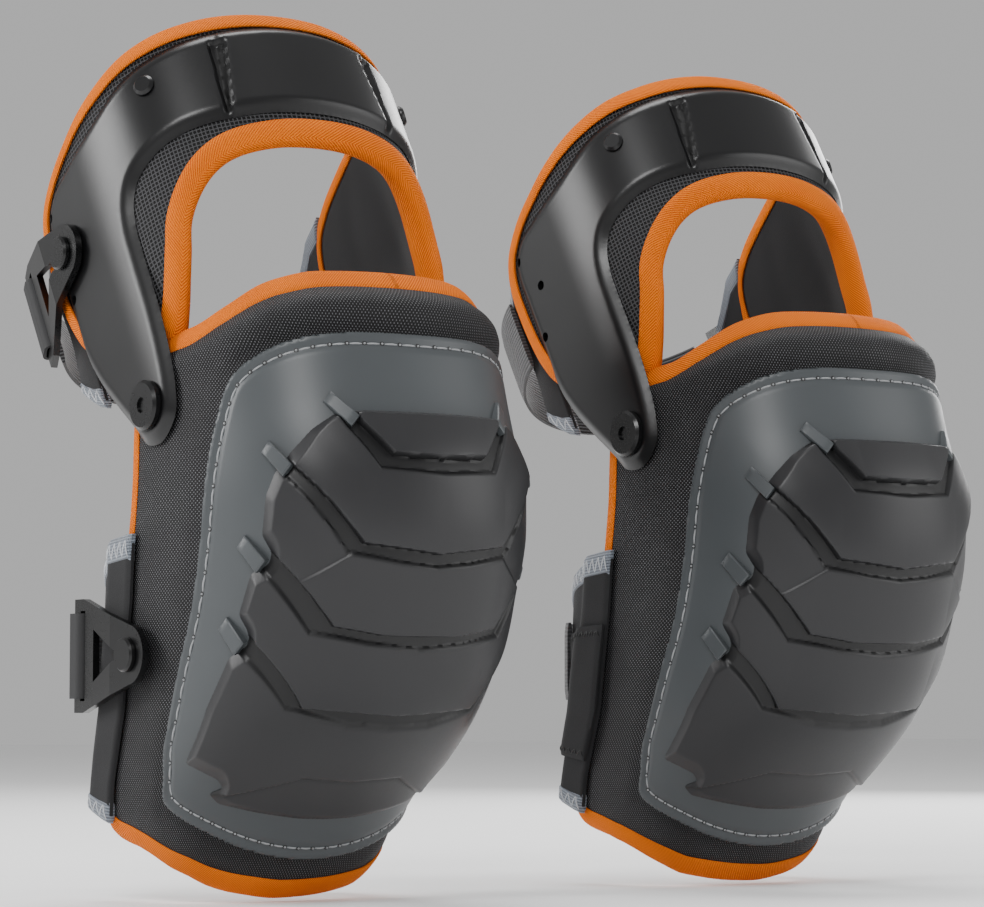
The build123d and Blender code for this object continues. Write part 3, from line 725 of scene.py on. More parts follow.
def slab(name, form, loop, pitch, top, bottom, reach, puff=None):
    """A closed padded slab. Returns the object, its flat map, each point's distance from the edge
    and a mask of its front."""
    obj, flat = cut_sheet(loop, pitch)
    obj.name = obj.data.name = name
    d, _ = distance(flat, dense(loop, 0.5))
    front, back = pillow(d, reach, top, bottom)
    if puff is not None:
        front = front + puff(flat, d)
    faces = [tuple(face.vertices) for face in obj.data.polygons]
    rim = rim_mask(obj.data)
    tuck = tucked(form, flat)
    front, back = front + tuck, back + tuck
    middle = (front + back) / 2
    front = np.where(rim, middle, front)
    index = np.full(len(flat), -1)
    inner = np.nonzero(~rim)[0]
    index[inner] = len(flat) + np.arange(len(inner))
    index[rim] = np.nonzero(rim)[0]
    points = np.concatenate([form.at(flat[:, 0], flat[:, 1], front),
                             form.at(flat[inner, 0], flat[inner, 1], back[inner])])
    both = faces + [tuple(int(index[v]) for v in reversed(face)) for face in faces]
    bpy.data.objects.remove(obj)
    full = np.concatenate([flat, flat[inner]])
    made = mesh_object(name, points, both, full)
    is_front = np.concatenate([np.ones(len(flat), bool), np.zeros(len(inner), bool)])
    return made, full, np.concatenate([d, d[inner]]), is_front


SWELL_FRAMES = 20


def inflate(obj, pinned, pressure, cap):
    """Lets a padded slab swell as cloth by at most cap mm, its sewn lines held."""
    before = values_of(obj.data.vertices, "co", 3)
    group = obj.vertex_groups.new(name="sewn")
    group.add([int(v) for v in np.nonzero(pinned)[0]], 1.0, "REPLACE")
    activate(obj)
    cloth = obj.modifiers.new("cloth", "CLOTH")
    settings = cloth.settings
    settings.quality = 6
    settings.mass = 0.3
    settings.tension_stiffness = 18
    settings.compression_stiffness = 18
    settings.shear_stiffness = 8
    settings.bending_stiffness = 1.2
    settings.use_pressure = True
    settings.uniform_pressure_force = pressure
    settings.vertex_group_mass = "sewn"
    settings.effector_weights.gravity = 0.0
    cloth.point_cache.frame_start = 1
    cloth.point_cache.frame_end = SWELL_FRAMES
    for number in range(1, SWELL_FRAMES + 1):
        bpy.context.scene.frame_set(number)
    evaluated = obj.evaluated_get(bpy.context.evaluated_depsgraph_get())
    after = values_of(evaluated.data.vertices, "co", 3)
    obj.modifiers.remove(cloth)
    bpy.context.scene.frame_set(1)
    move = after - before
    length = np.linalg.norm(move, axis=1, keepdims=True)
    move *= np.minimum(1.0, cap * MM / np.maximum(length, 1e-9))
    obj.data.vertices.foreach_set("co", (before + move).ravel())
    obj.vertex_groups.clear()
    obj.data.update()


def upholster(pad, front, slot_name, levels):
    """Gives a swollen slab its cover and lining and rounds it."""
    paint(pad, MATERIALS[slot_name])
    pad.data.materials.append(MATERIALS["lining"])
    lined = [int(any(not front[v] for v in face.vertices)) for face in pad.data.polygons]
    pad.data.polygons.foreach_set("material_index", lined)
    modifier = pad.modifiers.new("round", "SUBSURF")
    modifier.levels = modifier.render_levels = levels
    activate(pad)
    bpy.ops.object.modifier_apply(modifier=modifier.name)
    smooth(pad, 60)


def make_knee_pad():
    loop = inward(KNEE_EDGE, 1.0)

    def puff(flat, d):
        to_cap, _ = distance(flat, dense(CAP_EDGE, 1.0))
        out = ~inside(flat, CAP_EDGE)
        top = step(flat[:, 1], 8, 30)
        swell = np.where(out, step(to_cap, 0.0, 9.0) * step(d, 2.0, 12.0), 0.0)
        gutter = np.where(out, np.exp(-((to_cap - 2.5) / 3.5)**2), 0.0)
        return swell * (0.7 + 4.6 * top * step(d, 7.0, 15.0)) - gutter * (0.6 + 1.8 * top)

    pad, flat, d, front = slab("knee_pad", knee, loop, 4.0, 0.0, -12.5, 12.0, puff)
    in_cap = inside(flat, inward(CAP_EDGE, 2.0))
    inflate(pad, (d < TAPE_WIDTH) | (front & in_cap), 2.0, 3.0)
    upholster(pad, front, "ballistic_fabric", 2)
    place_pair(pad, "pad", "ballistic_fabric", ("knee_cover", "knee_foam", "knee_gel", "knee_liner"))


TAPE_LIFT = 0.9
SEW_SPACING = 18.0
SEW_WOBBLE = 0.28


def edge_tape(name, form, loop, use, closed, reach, top, bottom, middle, wrap):
    """Binding tape folded over the edge of a slab, along the part of its outline that use picks."""
    inwards = into(loop, 4)
    out = TAPE_LIFT
    profile = []
    for degree in np.linspace(wrap, -wrap, 15):
        a = math.radians(degree)
        high = (top - middle) if degree > 0 else (middle - bottom)
        d = reach * (1 - math.cos(a))
        h = middle + high * math.sin(a)
        profile.append((d - out * math.cos(a), h + out * math.sin(a)))
    first_d, first_h = profile[0]
    last_d, last_h = profile[-1]
    profile = [(first_d + 0.2, first_h - out - 0.5), (first_d + 0.45, first_h - 0.3)] + profile
    profile = profile + [(last_d + 0.45, last_h + 0.3), (last_d + 0.2, last_h + out + 0.5)]
    run = run_along(loop[use])
    marks = np.arange(0, run[-1] + 40, SEW_SPACING)
    wobble = np.interp(run, marks, np.random.default_rng(7).normal(0, SEW_WOBBLE, len(marks)))
    if closed:
        wobble = wobble * np.minimum(1, np.minimum(run, run[-1] - run) / 30)
    points, uv = [], []
    widths = np.concatenate([[0], np.cumsum([math.dist(a, b) for a, b in zip(profile, profile[1:])])])
    for k, (d, h) in enumerate(profile):
        q = loop[use] + inwards[use] * (d + wobble * (k < len(profile) // 2))[:, None]
        points.append(form.at(q[:, 0], q[:, 1], h + tucked(form, loop[use])))
        uv.append(np.stack([run, np.full(len(run), widths[k])], -1))
    rows, cols = len(profile), len(use)
    points = np.array(points).reshape(-1, 3)
    uv = np.array(uv).reshape(-1, 2)
    obj = mesh_object(name, points, strip(rows, cols, closed_cols=closed), uv)
    fix_normals(obj)
    smooth(obj, 60)
    return obj


def make_knee_binding():
    loop = catmull(KNEE_EDGE[::3], 2.0)
    tape = edge_tape("knee_edge_tape", knee, loop, np.arange(len(loop)), True,
                     reach=12.0, top=0.0, bottom=-12.5, middle=PAD_MIDDLE, wrap=76.0)
    place_pair(tape, "pad", "orange_tape", ("knee_binding",))


# ------------------------------------------------------------------ cap
RIM_BEAD = 3.8
STITCH_LINE = 5.2
STITCH_PITCH = 8.6
STITCH_HEIGHT = 2.55


def make_cap():
    def height(flat, d):
        bead = 3.1 * np.sqrt(np.clip(1 - (1 - np.clip(d / 1.4, 0, 1))**2, 0, 1))
        fall = 0.9 * step(d, RIM_BEAD - 0.9, RIM_BEAD + 0.5)
        rise = 0.7 * step(d, STITCH_LINE + 0.4, STITCH_LINE + 2.6)
        return 0.3 + bead - fall + rise + 0.5 * step(d, 8, 40)

    cap = relief("cap_moulding", knee, CAP_EDGE, 1.15, height, -1.2)
    place_pair(cap, "pad", "grey_cap", ("cap_base",))


def capsule(a, b, normal, radius, sides=6, rings=3):
    """A short thread between two points, its ends dipping in."""
    a, b, normal = (np.array(v, float) for v in (a, b, normal))
    along = b - a
    length = np.linalg.norm(along)
    along /= max(length, 1e-9)
    side = np.cross(along, normal)
    side /= max(np.linalg.norm(side), 1e-9)
    up = np.cross(side, along)
    points = []
    stations = np.linspace(0, 1, 2 * rings + 1)
    for t in stations:
        arch = math.sin(math.pi * t)
        centre = a + along * length * t + up * (radius * 1.4 * arch - radius * 0.9)
        r = radius * (0.55 + 0.45 * min(1.0, 3 * min(t, 1 - t)))
        for k in range(sides):
            angle = 2 * math.pi * k / sides
            points.append(centre + r * (math.cos(angle) * side + math.sin(angle) * up))
    rows = len(stations)
    faces = strip(rows, sides, closed_cols=True)
    faces.append(tuple(range(sides)))
    faces.append(tuple(reversed(range((rows - 1) * sides, rows * sides))))
    return points, faces


def many(name, pieces):
    """Joins many small point and face sets into one object."""
    points, faces = [], []
    for p, f in pieces:
        base = len(points)
        points += [tuple(q) for q in p]
        faces += [tuple(v + base for v in face) for face in f]
    obj = mesh_object(name, points, faces, np.zeros((len(points), 2)))
    fix_normals(obj)
    smooth(obj, 50)
    return obj


def stitch_run(holes, above, radius, gap):
    """Threads between neighbouring needle holes of a closed row."""
    pieces = []
    for here, up, there in zip(holes, above, np.roll(holes, -1, axis=0)):
        a = here + (there - here) * gap / 2
        b = there - (there - here) * gap / 2
        pieces.append(capsule(a, b, up - here, radius))
    return pieces


def disc(centre, normal, radius, lift, sides=10):
    """A small domed disc."""
    centre, normal = np.array(centre), np.array(normal, float)
    normal /= np.linalg.norm(normal)
    side = np.cross(normal, (0.3, 0.2, 0.9))
    side /= np.linalg.norm(side)
    up = np.cross(normal, side)
    points = []
    for r, h in ((1.0, -0.3), (0.95, 0.3 * lift), (0.5, lift)):
        for k in range(sides):
            angle = 2 * math.pi * k / sides
            spoke = math.cos(angle) * side + math.sin(angle) * up
            points.append(centre + radius * r * spoke + normal * h)
    faces = strip(3, sides, closed_cols=True)
    faces.append(tuple(range(2 * sides, 3 * sides)))
    faces.append(tuple(reversed(range(sides))))
    return points, faces


def make_cap_stitches():
    path = catmull(inward(CAP_EDGE, STITCH_LINE)[::4], STITCH_PITCH)
    heights = np.full(len(path), STITCH_HEIGHT)
    base = knee.at(path[:, 0], path[:, 1], heights)
    above = knee.at(path[:, 0], path[:, 1], heights + 1.0)
    up = above - base
    threads = stitch_run(base, above, 0.42, 0.12)
    # Near-black domed discs at the needle holes: painted shade for the holes' insides.
    holes = [disc(at, way, 1.15, 0.10) for at, way in zip(base, up)]
    knots = [disc(at + way * 0.15, way, 0.55, 0.5, 6) for at, way in zip(base, up)]
    for name, pieces, material in (("cap_stitches", threads, THREAD_GREY),
                                   ("cap_needle_holes", holes, HOLE_SHADE),
                                   ("cap_stitch_knots", knots, THREAD_GREY)):
        place_pair(many(name, pieces), "pad", "grey_cap", material=material)


# ------------------------------------------------------------------ armour
ARMOUR_HALF = [(0, -6.5), (29, -6.5), (39, -8), (47, -14), (53, -22), (58, -31), (60, -40), (60, -55),
               (57.5, -61), (57.5, -66), (61, -70), (61.5, -86), (58.5, -93), (58, -98), (61, -103),
               (61.5, -122), (59.5, -145), (50, -151), (47, -154.5), (50, -157), (46, -161), (30, -165),
               (13, -167.5), (0, -168)]
# Upper and lower edges of the four sunk bands, and the edge of the foot plate, as x and z.
UPPER = [[(0, -25), (21, -24), (31, -12), (36, 4)],
         [(0, -60.5), (31, -57), (53, -28), (66, -10)],
         [(0, -92.5), (18, -92), (36, -89), (56, -62), (66, -48)],
         [(0, -122.5), (9, -122), (38, -120), (56, -96), (68, -80)]]
LOWER = [[(0, -31), (26, -29.5), (36, -14), (44, 2)],
         [(0, -66), (16, -64.5), (36, -61), (54, -34), (66, -18)],
         [(0, -98), (22, -96), (43, -92), (56, -72), (66, -56)],
         [(0, -128), (19, -127), (43, -121), (56, -104), (68, -88)]]
FOOT = [(0, -149.5), (23, -148), (46, -156), (60, -161)]
ARMOUR_HEIGHT = 7.0
ARMOUR_EDGE = 3.6


def line_at(line, x):
    xs, zs = zip(*line)
    return np.interp(x, xs, zs)


def armour_loop():
    right = [(float(knee.p_of_x(x, z)), float(z)) for x, z in ARMOUR_HALF]
    loop = np.array(right + [(-p, z) for p, z in reversed(right) if p > 1e-6])
    loop = dense(loop, 1.0)
    for _ in range(2):
        loop = (loop + np.roll(loop, 1, 0) + np.roll(loop, -1, 0)) / 3
    return loop


def make_armour():
    def height(flat, d):
        p, z = flat[:, 0], flat[:, 1]
        x = np.abs(knee.raw(p, z)[:, 0])
        h = np.full(len(flat), ARMOUR_HEIGHT)
        # Painted shade mask: 1 in the sunk bands, their lower grooves and the foot line, darkened by the
        # material.
        sunk = np.zeros(len(flat))
        edges = [np.full(len(flat), 0.0)]
        for upper, lower in zip(UPPER, LOWER):
            edges.append(line_at(upper, x))
            edges.append(line_at(lower, x))
        for k in range(4):
            up, low = edges[2 * k + 1], edges[2 * k + 2]
            above = z - up
            own = (z < edges[2 * k] + 0.1) & (above > -0.6) & (above < 60)
            h = h + np.where(own, 1.3 * (1 - step(above, 0, 24)), 0)
            band_share = np.clip((up - z) / np.maximum(up - low, 0.1), 0, 1)
            inner = step(up - z, -0.5, 1.1) * step(z - low, -0.3, 0.9)
            h = h - inner * (2.7 - 0.9 * band_share)
            groove = np.exp(-((z - low) / 0.6)**2)
            h = h - 0.35 * groove
            sunk = np.maximum(sunk, np.maximum(inner, groove))
        foot = line_at(FOOT, x)
        h = h - 2.0 * step(foot - z, -0.6, 1.4)
        line = np.exp(-((z - foot + 0.6) / 0.9)**2)
        h = h - 0.5 * line
        sunk = np.maximum(sunk, line)
        collar = z - (-62 - (x - 35) * 10 / 13)
        between = (z < edges[4]) & (z > edges[5])
        h = h - 0.9 * step(collar, -0.4, 0.7) * between * (x > 33)
        side_bevel = step(x, 40, 52)
        width = 2.2 + 3.8 * side_bevel
        slope = np.clip(d / width, 0, 1)
        return ARMOUR_EDGE + (h - ARMOUR_EDGE) * slope * (1 + 0.12 * (1 - slope)), sunk

    armour = relief("armour_plates", knee, armour_loop(), 0.62, height, 2.2)
    place_pair(armour, "pad", "charcoal_armour", ("cap_armour",))


# Each tab's x, z, slope in degrees and length.
TABS = [(37.0, -6.5, 46.0, 16.0), (57.0, -25.5, 43.0, 15.0),
        (61.3, -62.0, 38.0, 16.0), (61.5, -94.0, 38.0, 16.0)]
TAB_HALF_WIDTH = 3.1
TAB_ALONG = [0.0, 0.02, 0.07, 0.25, 0.5, 0.75, 0.93, 0.98, 1.0]
TAB_ACROSS = [-1.0, -0.96, -0.82, -0.3, 0.3, 0.82, 0.96, 1.0]


def make_tabs():
    pieces = []
    for x, z, turn, length in TABS:
        for side in (-1, 1):
            p0 = float(knee.p_of_x(x, z)) * side
            angle = math.radians(turn)
            along = np.array([-side * math.cos(angle), -math.sin(angle)])
            across = np.array([-along[1], along[0]])
            rows, cols = len(TAB_ALONG), len(TAB_ACROSS)
            points = []
            for i, t in enumerate(TAB_ALONG):
                for k, s in enumerate(TAB_ACROSS):
                    q = np.array([p0, z]) + along * (t - 0.5) * length + across * s * TAB_HALF_WIDTH
                    h = 5.0 + 3.0 * t
                    if i in (1, rows - 2) or k in (1, cols - 2):
                        h -= 0.5
                    if i in (0, rows - 1) or k in (0, cols - 1):
                        h = 2.6
                    points.append(knee.at(q[0], q[1], h))
            pieces.append((points, strip(rows, cols)))
    tabs = many("locking_tabs", pieces)
    smooth(tabs, 35)
    place_pair(tabs, "pad", "grey_cap", ("cap_tabs",))


# ------------------------------------------------------------------ thigh guard
SHELL_EDGE = outline(thigh, [
    ("x", 0, 154), ("x", 32, 152), ("x", 58.5, 148), ("x", 71, 143.5),
    ("y", -13, 134.5), ("y", 8, 130.5), ("y", 24, 127), ("y", 31.5, 121), ("y", 35, 112),
    ("y", 35.5, 96), ("y", 35.5, 70), ("y", 35, 48), ("y", 31, 32), ("y", 24, 15), ("y", 16.5, -1),
    ("y", 11.7, -11.7), ("y", 0.5, -16.5), ("y", -11.7, -11.7), ("y", -16.8, 0),
    ("y", -19.2, 14), ("y", -20.8, 34), ("y", -21.2, 60), ("y", -21.8, 76), ("y", -24.5, 87),
    ("y", -30, 95), ("x", 68.5, 101.5), ("x", 60, 105), ("x", 40, 106.5), ("x", 0, 108)])
THIGH_EDGE = outline(thigh, [
    ("x", 0, 163), ("x", 30, 162.3), ("x", 58.5, 159.5),
    ("y", -34, 156), ("y", -13, 151), ("y", 9, 145), ("y", 28, 137), ("y", 40, 127), ("y", 46, 112),
    ("y", 47, 90), ("y", 44, 68), ("y", 38, 54), ("y", 24, 45), ("y", 8, 39), ("y", -4, 30),
    ("y", -12, 24), ("y", -20, 24), ("y", -27, 32), ("y", -34, 43), ("y", -40, 55), ("y", -44.5, 68),
    ("x", 58.5, 81), ("x", 47, 89.5), ("x", 25, 94), ("x", 0, 95)])
PANEL_X = 39.0
# The inner and outer tapes meet this far behind the wall's run and at this height.
TAPE_JOIN = (44.0, 68.0)
# Rivet holes in the arms: y and z, and the sides that have them.
ARM_HOLES = [(20.0, 97.0, (1.0,)), (29.5, 117.0, (1.0, -1.0)), (29.5, 74.0, (1.0, -1.0))]
HOLE_RADIUS = 2.3


def make_thigh_shell():
    def height(flat, d):
        p, z = flat[:, 0], flat[:, 1]
        x = np.abs(thigh.raw(p, z)[:, 0])
        bevel = 4.6
        h = -3.0 * (1 - np.clip(d / bevel, 0, 1)) - 0.25 * np.exp(-((d - bevel) / 0.7)**2)
        arch = step(z, 100, 104)
        lean = PANEL_X + (z - 130) * -0.10
        widen = 1.2 + 0.055 * (z - 106)
        facet = step(x - lean + widen, -1.1, 1.1) * (1 - step(x - lean - widen, -1.1, 1.1))
        ends = step(z, 107, 111) * (1 - step(z, 143.5, 146))
        h = h - 2.2 * facet * ends * arch
        h = h + 0.9 * step(lean - x, -0.2, 1.2) * arch * np.clip(d / bevel, 0, 1)
        # The sunk facets go out as a painted shade mask, darkened by the material.
        return h, facet * ends * arch

    shell = relief("arch_moulding", thigh, SHELL_EDGE, 0.9, height, -3.0, 34)
    for side, y, z in [(side, y, z) for y, z, sides in ARM_HOLES for side in sides]:
        clear_selection()
        bpy.ops.mesh.primitive_cylinder_add(vertices=32, radius=HOLE_RADIUS * MM, depth=14 * MM,
                                            rotation=(0, math.pi / 2, 0))
        drill = bpy.context.object
        bpy.ops.object.transform_apply(location=True, rotation=True, scale=True)
        spot = turned(np.array([side * 78.0, y, z]), TILT) * MM
        drill.data.transform(Matrix.Translation(Vector(spot)))
        cut = shell.modifiers.new("hole", "BOOLEAN")
        cut.operation = "DIFFERENCE"
        cut.solver = "FAST"
        cut.object = drill
        activate(shell)
        bpy.ops.object.modifier_apply(modifier="hole")
        bpy.data.objects.remove(drill)
    smooth(shell, 32)
    place_pair(shell, "thigh", "black_shell", ("thigh_shell",))


def make_thigh_pad():
    loop = inward(THIGH_EDGE, 1.0)
    pad, flat, d, front = slab("thigh_cushion", thigh, loop, 3.6, -3.4, -13.5, 10.0)
    in_shell = inside(flat, inward(SHELL_EDGE, -1.0))
    inflate(pad, (d < TAPE_WIDTH - 1.0) | (front & in_shell), 1.5, 2.0)
    upholster(pad, front, "mesh_fabric", 1)
    place_pair(pad, "thigh", "mesh_fabric", ("thigh_pad", "thigh_liner"))


def make_thigh_bindings():
    loop = catmull(THIGH_EDGE[::3], 2.0)
    first, second = sorted(
        int(np.argmin(np.where(loop[:, 0] * side > 0,
                               (loop[:, 0] - side * (THIGH_RUN + TAPE_JOIN[0]))**2
                               + (loop[:, 1] - TAPE_JOIN[1])**2, 1e9)))
        for side in (1.0, -1.0))
    outer_count = len(loop) - (second - first) + 1
    for name, edge, use in (
            ("inner", loop, np.arange(first, second + 1)),
            ("outer", np.roll(loop, -second, axis=0), np.arange(outer_count))):
        tape = edge_tape("thigh_" + name + "_tape", thigh, edge, use, False,
                         reach=10.0, top=-2.6, bottom=-13.5, middle=-8.0, wrap=82.0)
        place_pair(tape, "thigh", "orange_tape", ("thigh_" + name + "_binding",))


# ------------------------------------------------------------------ wings and straps
def oval_plan(half, depth, centre, first_y, last_y):
    """Plan curve round the back of the leg, from one side's start to the other side's."""
    first = math.asin(min((first_y - centre) / depth, 1.0))
    last = math.pi - math.asin(min((last_y - centre) / depth, 1.0))
    turn = np.linspace(first, last, 70)
    path = np.stack([-half * np.cos(turn), centre + depth * np.sin(turn)], -1)
    return catmull(path, 3.0, closed=False)


def band(name, plan, low, high, thick, tilt, rows=9):
    """A flat band along a plan curve, with rounded long edges."""
    n = len(plan)
    tangent = np.gradient(plan, axis=0)
    tangent /= np.linalg.norm(tangent, axis=1, keepdims=True)
    out = np.stack([tangent[:, 1], -tangent[:, 0]], -1)
    run = run_along(plan)
    profile = [(t, thick / 2) for t in np.linspace(0, 1, rows)]
    profile += [(t, -thick / 2) for t in np.linspace(1, 0, rows)]
    points, uv = [], []
    for t, off in profile:
        edge = 1 - (2 * t - 1)**8 * 0.5
        centre = plan + out * (off * edge)
        z = np.full(n, low + (high - low) * t)
        points.append(np.stack([centre[:, 0], centre[:, 1], z], -1))
        uv.append(np.stack([run, z], -1))
    rows_total = len(profile)
    points = turned(np.array(points), tilt).reshape(-1, 3)
    faces = strip(rows_total, n, closed_rows=True)
    faces.append(tuple(i * n for i in range(rows_total)))
    faces.append(tuple(i * n + n - 1 for i in reversed(range(rows_total))))
    obj = mesh_object(name, points, faces, np.array(uv).reshape(-1, 2))
    fix_normals(obj)
    smooth(obj, 50)
    return obj


WING_THICK = 3.0
TAPED_THICK = 4.2
SEAM_LIFT = 2.15


class Wing:
    """One wing: u runs back from where it is sewn on, v runs up from its lower edge.
    Its plan is an oval of half width, depth and centre, and cover holds it outside a wall it leaves."""

    def __init__(self, side, oval, start, stop, low_line, high_line, tilt, cover=None):
        self.side = side
        self.oval = oval
        self.start = start
        self.stop = stop
        self.low_line = low_line
        self.high_line = high_line
        self.tilt = tilt
        self.cover = cover

    def flat(self, u, v):
        z0 = self.low_line[0][1] + (self.high_line[0][1] - self.low_line[0][1]) * v
        first = self.start(z0)
        y = first + (self.stop - first) * u
        low = np.interp(y, *zip(*self.low_line))
        high = np.interp(y, *zip(*self.high_line))
        return y, low + (high - low) * v

    def point(self, u, v, out=0.0):
        y, z = self.flat(u, v)
        half, depth, centre = self.oval
        x = half * np.sqrt(np.clip(1 - (np.maximum(y - centre, 0) / depth)**2, 0, 1))
        x = x + 0.7 * np.sin(v * 9.0 + y * 0.12) * np.clip(u, 0, 1)
        if self.cover:
            reach, back = self.cover(z)
            share = 1 - step(y, back + 1.0, back + 15.0)
            x = x + (reach - x) * share
        lean = np.clip((y - centre) / depth, 0, 0.95)
        nx, ny = np.sqrt(1 - lean**2), lean
        points = np.stack([self.side * (x + out * nx), y + out * ny, z + 0 * x], -1)
        return turned(points, self.tilt)


def panel(wing, u0, u1, v0, v1, lift, thick, nu, nv):
    """A soft panel of a wing: its two faces and the rolled edge between them."""
    us, vs = np.linspace(u0, u1, nu), np.linspace(v0, v1, nv)
    gu, gv = np.meshgrid(us, vs, indexing="ij")
    iu, iv = np.meshgrid(np.arange(nu), np.arange(nv), indexing="ij")
    from_edge = np.minimum(np.minimum(iu, nu - 1 - iu), np.minimum(iv, nv - 1 - iv))
    round_off = np.where(from_edge == 0, 0.45, 1.0)
    outer = wing.point(gu, gv, lift + thick / 2 * round_off)
    inner = wing.point(gu, gv, lift - thick / 2 * round_off)
    points = np.concatenate([outer.reshape(-1, 3), inner.reshape(-1, 3)])
    y, z = wing.flat(gu, gv)
    uv = np.stack([y, z - wing.flat(gu, v0 + 0 * gv)[1]], -1).reshape(-1, 2)
    n = nu * nv
    faces = strip(nu, nv)
    faces += [tuple(v + n for v in reversed(face)) for face in faces]
    loop = [(i, 0) for i in range(nu)] + [(nu - 1, k) for k in range(1, nv)]
    loop += [(i, nv - 1) for i in range(nu - 2, -1, -1)] + [(0, k) for k in range(nv - 2, 0, -1)]
    ring = [i * nv + k for i, k in loop]
    for k in range(len(ring)):
        a, b = ring[k], ring[(k + 1) % len(ring)]
        faces.append((b, a, a + n, b + n))
    obj = mesh_object("panel", points, faces, np.concatenate([uv, uv]))
    fix_normals(obj)
    smooth(obj, 60)
    return obj


def zigzag(wing, v0, v1, lift, pitch=4.2, last=0.98):
    """A zig-zag row of thread along a wing, on its outer face."""
    ys = wing.flat(np.array([0.0, 1.0]), np.array([v0, v0]))[0]
    count = int((ys[1] - ys[0]) * last / (pitch / 2))
    us = np.linspace(0.02, last, max(count, 3))
    pieces = []
    for i in range(len(us) - 1):
        va, vb = (v0, v1) if i % 2 == 0 else (v1, v0)
        a = wing.point(np.array(us[i]), np.array(va), lift)
        b = wing.point(np.array(us[i + 1]), np.array(vb), lift)
        above = wing.point(np.array(us[i]), np.array(va), lift + 1.0)
        pieces.append(capsule(a, b, above - a, 0.32, 5, 2))
    return pieces


def knee_rear(z):
    """Where the black cover ends and the edge tape starts, looking from the side."""
    return np.interp(z, [-190, -160, -125, -80, -32, 0], [62.0, 52.5, 36.5, 24.5, 16.0, 15.0])


def calf_cover(z):
    """How far out the lower pad's side reaches and where the wing is clear of it."""
    return hermite(z, KNEE_Z, KNEE_HALF) + 2.45, knee_rear(z) + TAPE_WIDTH + 2.0


def sew_wing(wing, panel_edges, tape_edges, seam_edges, nu, nv):
    """A wing's panel, the tapes along its upper and lower edge and the zig-zags that sew them on."""
    cloth = panel(wing, 0.0, 0.985, *panel_edges, 0.0, WING_THICK, nu, nv)
    tapes = [panel(wing, 0.005, 1.0, *edges, 0.0, TAPED_THICK, nu, 7) for edges in tape_edges]
    seams = []
    for edges in seam_edges:
        seams += zigzag(wing, *edges, SEAM_LIFT)
    return cloth, tapes, seams


def place_wings(name, body, panels, tapes, seams):
    place_pair(join(name + "_wing_panels", panels), body, "neoprene", (name + "_wings",))
    place_pair(join(name + "_wing_edging", tapes), body, "grey_tape", (name + "_wing_tapes",))
    place_pair(many(name + "_wing_zigzag", seams), body, "grey_tape", material=THREAD_WHITE)


def make_calf_wings():
    panels, flaps, tapes, seams, dark = [], [], [], [], []
    for side in (-1, 1):
        wing = Wing(side, (67.5, 58.5, 36.0), lambda z: knee_rear(z) - 4.4, 84.0,
                    [(18, -181), (40, -177), (60, -171), (76, -164), (84, -158)],
                    [(18, -52), (40, -55), (60, -61), (76, -72), (84, -82)], 0.0, calf_cover)
        cloth, edging, thread_row = sew_wing(wing, (0.03, 0.97), [(0.915, 1.0), (0.0, 0.085)],
                                             [(0.928, 0.985), (0.015, 0.072)], 34, 40)
        panels.append(cloth)
        tapes += edging
        seams += thread_row
        if side > 0:
            flaps.append(panel(wing, 0.0, 0.80, 0.23, 0.74, 2.6, 2.6, 26, 24))
            for row in (0.71, 0.26):
                dark += zigzag(wing, row - 0.012, row + 0.012, 4.0, 3.6, 0.78)
    place_wings("calf", "pad", panels + flaps, tapes, seams)
    place_pair(many("calf_flap_seams", dark), "pad", "neoprene", material=THREAD_BLACK)


def make_thigh_wings():
    panels, tapes, seams = [], [], []
    for side in (-1, 1):
        wing = Wing(side, (66.5, 60.5, 42.0), lambda z: np.interp(z, [29, 108, 134], [44.0, 42.0, 31.0]),
                    60.0, [(31, 27), (44, 29), (49, 33), (55, 40), (60, 47)],
                    [(31, 134), (44, 130), (51, 122), (60, 110)], TILT)
        cloth, edging, thread_row = sew_wing(wing, (0.04, 0.96), [(0.90, 1.0), (0.0, 0.11)],
                                             [(0.915, 0.98), (0.02, 0.095)], 30, 36)
        panels.append(cloth)
        tapes += edging
        seams += thread_row
    place_wings("thigh", "thigh", panels, tapes, seams)


STRAP_WIDTH = 36.0
STRAP_THICK = 2.4


def make_straps():
    for name, body, tilt, centre_z, oval, hook_y, far_y, flat in (
            ("calf_strap", "pad", 0.0, -102.0, (71.8, 62.8, 36.0), 70.5, 60.0, (0.036, 0.158)),
            ("thigh_strap", "thigh", TILT, 93.0, (70.7, 64.7, 42.0), 76.0, 54.0, (0.036, 0.170))):
        path = oval_plan(*oval, hook_y, far_y)
        strap = band(name + "_elastic", path, centre_z - STRAP_WIDTH / 2, centre_z + STRAP_WIDTH / 2,
                     STRAP_THICK, tilt)
        place_pair(strap, body, "strap_elastic", (name,))


# ------------------------------------------------------------------ CAD pieces that stay
# Each kept piece's slot, and whether its edges are softened.
KEPT = {
    "hinge_rivets": ("black_plastic", True), "hinge_washers": ("black_plastic", False),
    "calf_stud": ("black_plastic", True), "calf_hook": ("black_plastic", True),
    "thigh_rivets": ("black_shell", True), "thigh_stud": ("black_plastic", True),
    "thigh_hook": ("black_plastic", True), "calf_strap_loop": ("webbing", False),
    "thigh_strap_loop": ("webbing", False),
}
SOFT_EDGE = 0.5


def keep_cad():
    for prefix, _ in SIDES:
        for name, (slot_name, softened) in KEPT.items():
            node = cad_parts[prefix + name]
            material = MATERIALS[slot_name]
            if node.data.materials:
                for k in range(len(node.data.materials)):
                    node.data.materials[k] = material
            else:
                node.data.materials.append(material)
            if softened:
                edge = node.modifiers.new("softened_edge", "BEVEL")
                edge.width = SOFT_EDGE * MM
                edge.segments = 2
                edge.limit_method = "ANGLE"
                edge.angle_limit = math.radians(40)


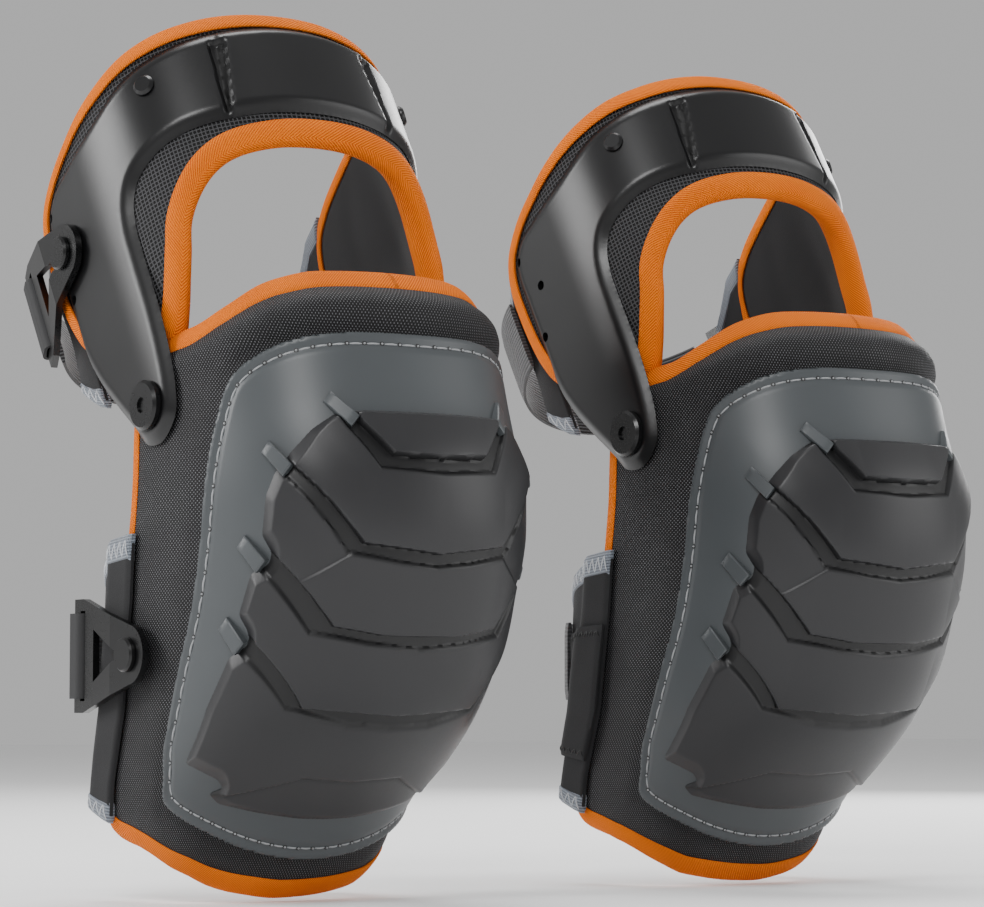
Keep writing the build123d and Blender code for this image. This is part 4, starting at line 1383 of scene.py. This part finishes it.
# ------------------------------------------------------------------ stage
# Each area light's name, place and size in metres, power in watts, and the point it faces.
LIGHTS = (
    ("key", (-1.7, -1.3, 1.6), 0.9, 46.0, (0, 0, 0)),
    ("fill", (1.6, -1.5, 0.5), 1.2, 16.0, (0, 0, -0.05)),
    ("top", (0.2, 0.4, 1.9), 1.0, 26.0, (0, 0, 0)),
    ("rim", (-1.6, 1.1, 0.7), 0.8, 26.0, (0, 0, 0.05)),
    ("edge", (1.5, 0.9, 0.6), 0.8, 18.0, (0, 0, 0)),
)
LENS = 129.4
CAMERA_PLACE = (-0.948, -1.2503, -0.1248)
CAMERA_PITCH = 94.15
CAMERA_TURN = -36.3


def add_stage():
    bpy.ops.object.select_all(action="DESELECT")
    bpy.ops.mesh.primitive_plane_add(size=12.0, location=(0, 0, CAD_BOX[0][2] - 0.0005))
    floor = bpy.context.object
    floor.name = "floor"
    pale = Nodes("floor_pale", Roughness=0.9)
    tone = pale.mix(pale.noise(2.0), (0.93, 0.93, 0.93), (0.95, 0.95, 0.95))
    pale.feed(pale.shader, "Base Color", tone)
    paint(floor, pale.material)
    world = bpy.data.worlds.new("studio")
    bpy.context.scene.world = world
    world.use_nodes = True
    background = world.node_tree.nodes["Background"]
    background.inputs["Color"].default_value = (1.0, 1.0, 1.0, 1.0)
    background.inputs["Strength"].default_value = 0.5
    for name, place, size, power, target in LIGHTS:
        data = bpy.data.lights.new(name, "AREA")
        data.size = size
        data.energy = power
        lamp = bpy.data.objects.new(name, data)
        bpy.context.scene.collection.objects.link(lamp)
        lamp.location = place
        lamp.rotation_euler = (Vector(target) - Vector(place)).to_track_quat("-Z", "Y").to_euler()


def add_camera():
    data = bpy.data.cameras.new("camera")
    data.sensor_width = 36.0
    data.lens = LENS
    data.clip_start = 0.05
    camera = bpy.data.objects.new("camera", data)
    bpy.context.scene.collection.objects.link(camera)
    camera.location = CAMERA_PLACE
    camera.rotation_euler = (math.radians(CAMERA_PITCH), 0.0, math.radians(CAMERA_TURN))
    bpy.context.scene.camera = camera


add_stage()
add_camera()
keep_cad()
make_knee_pad()
make_knee_binding()
make_cap()
make_cap_stitches()
make_armour()
make_tabs()
make_thigh_shell()
make_thigh_pad()
make_thigh_bindings()
make_calf_wings()
make_thigh_wings()
make_straps()
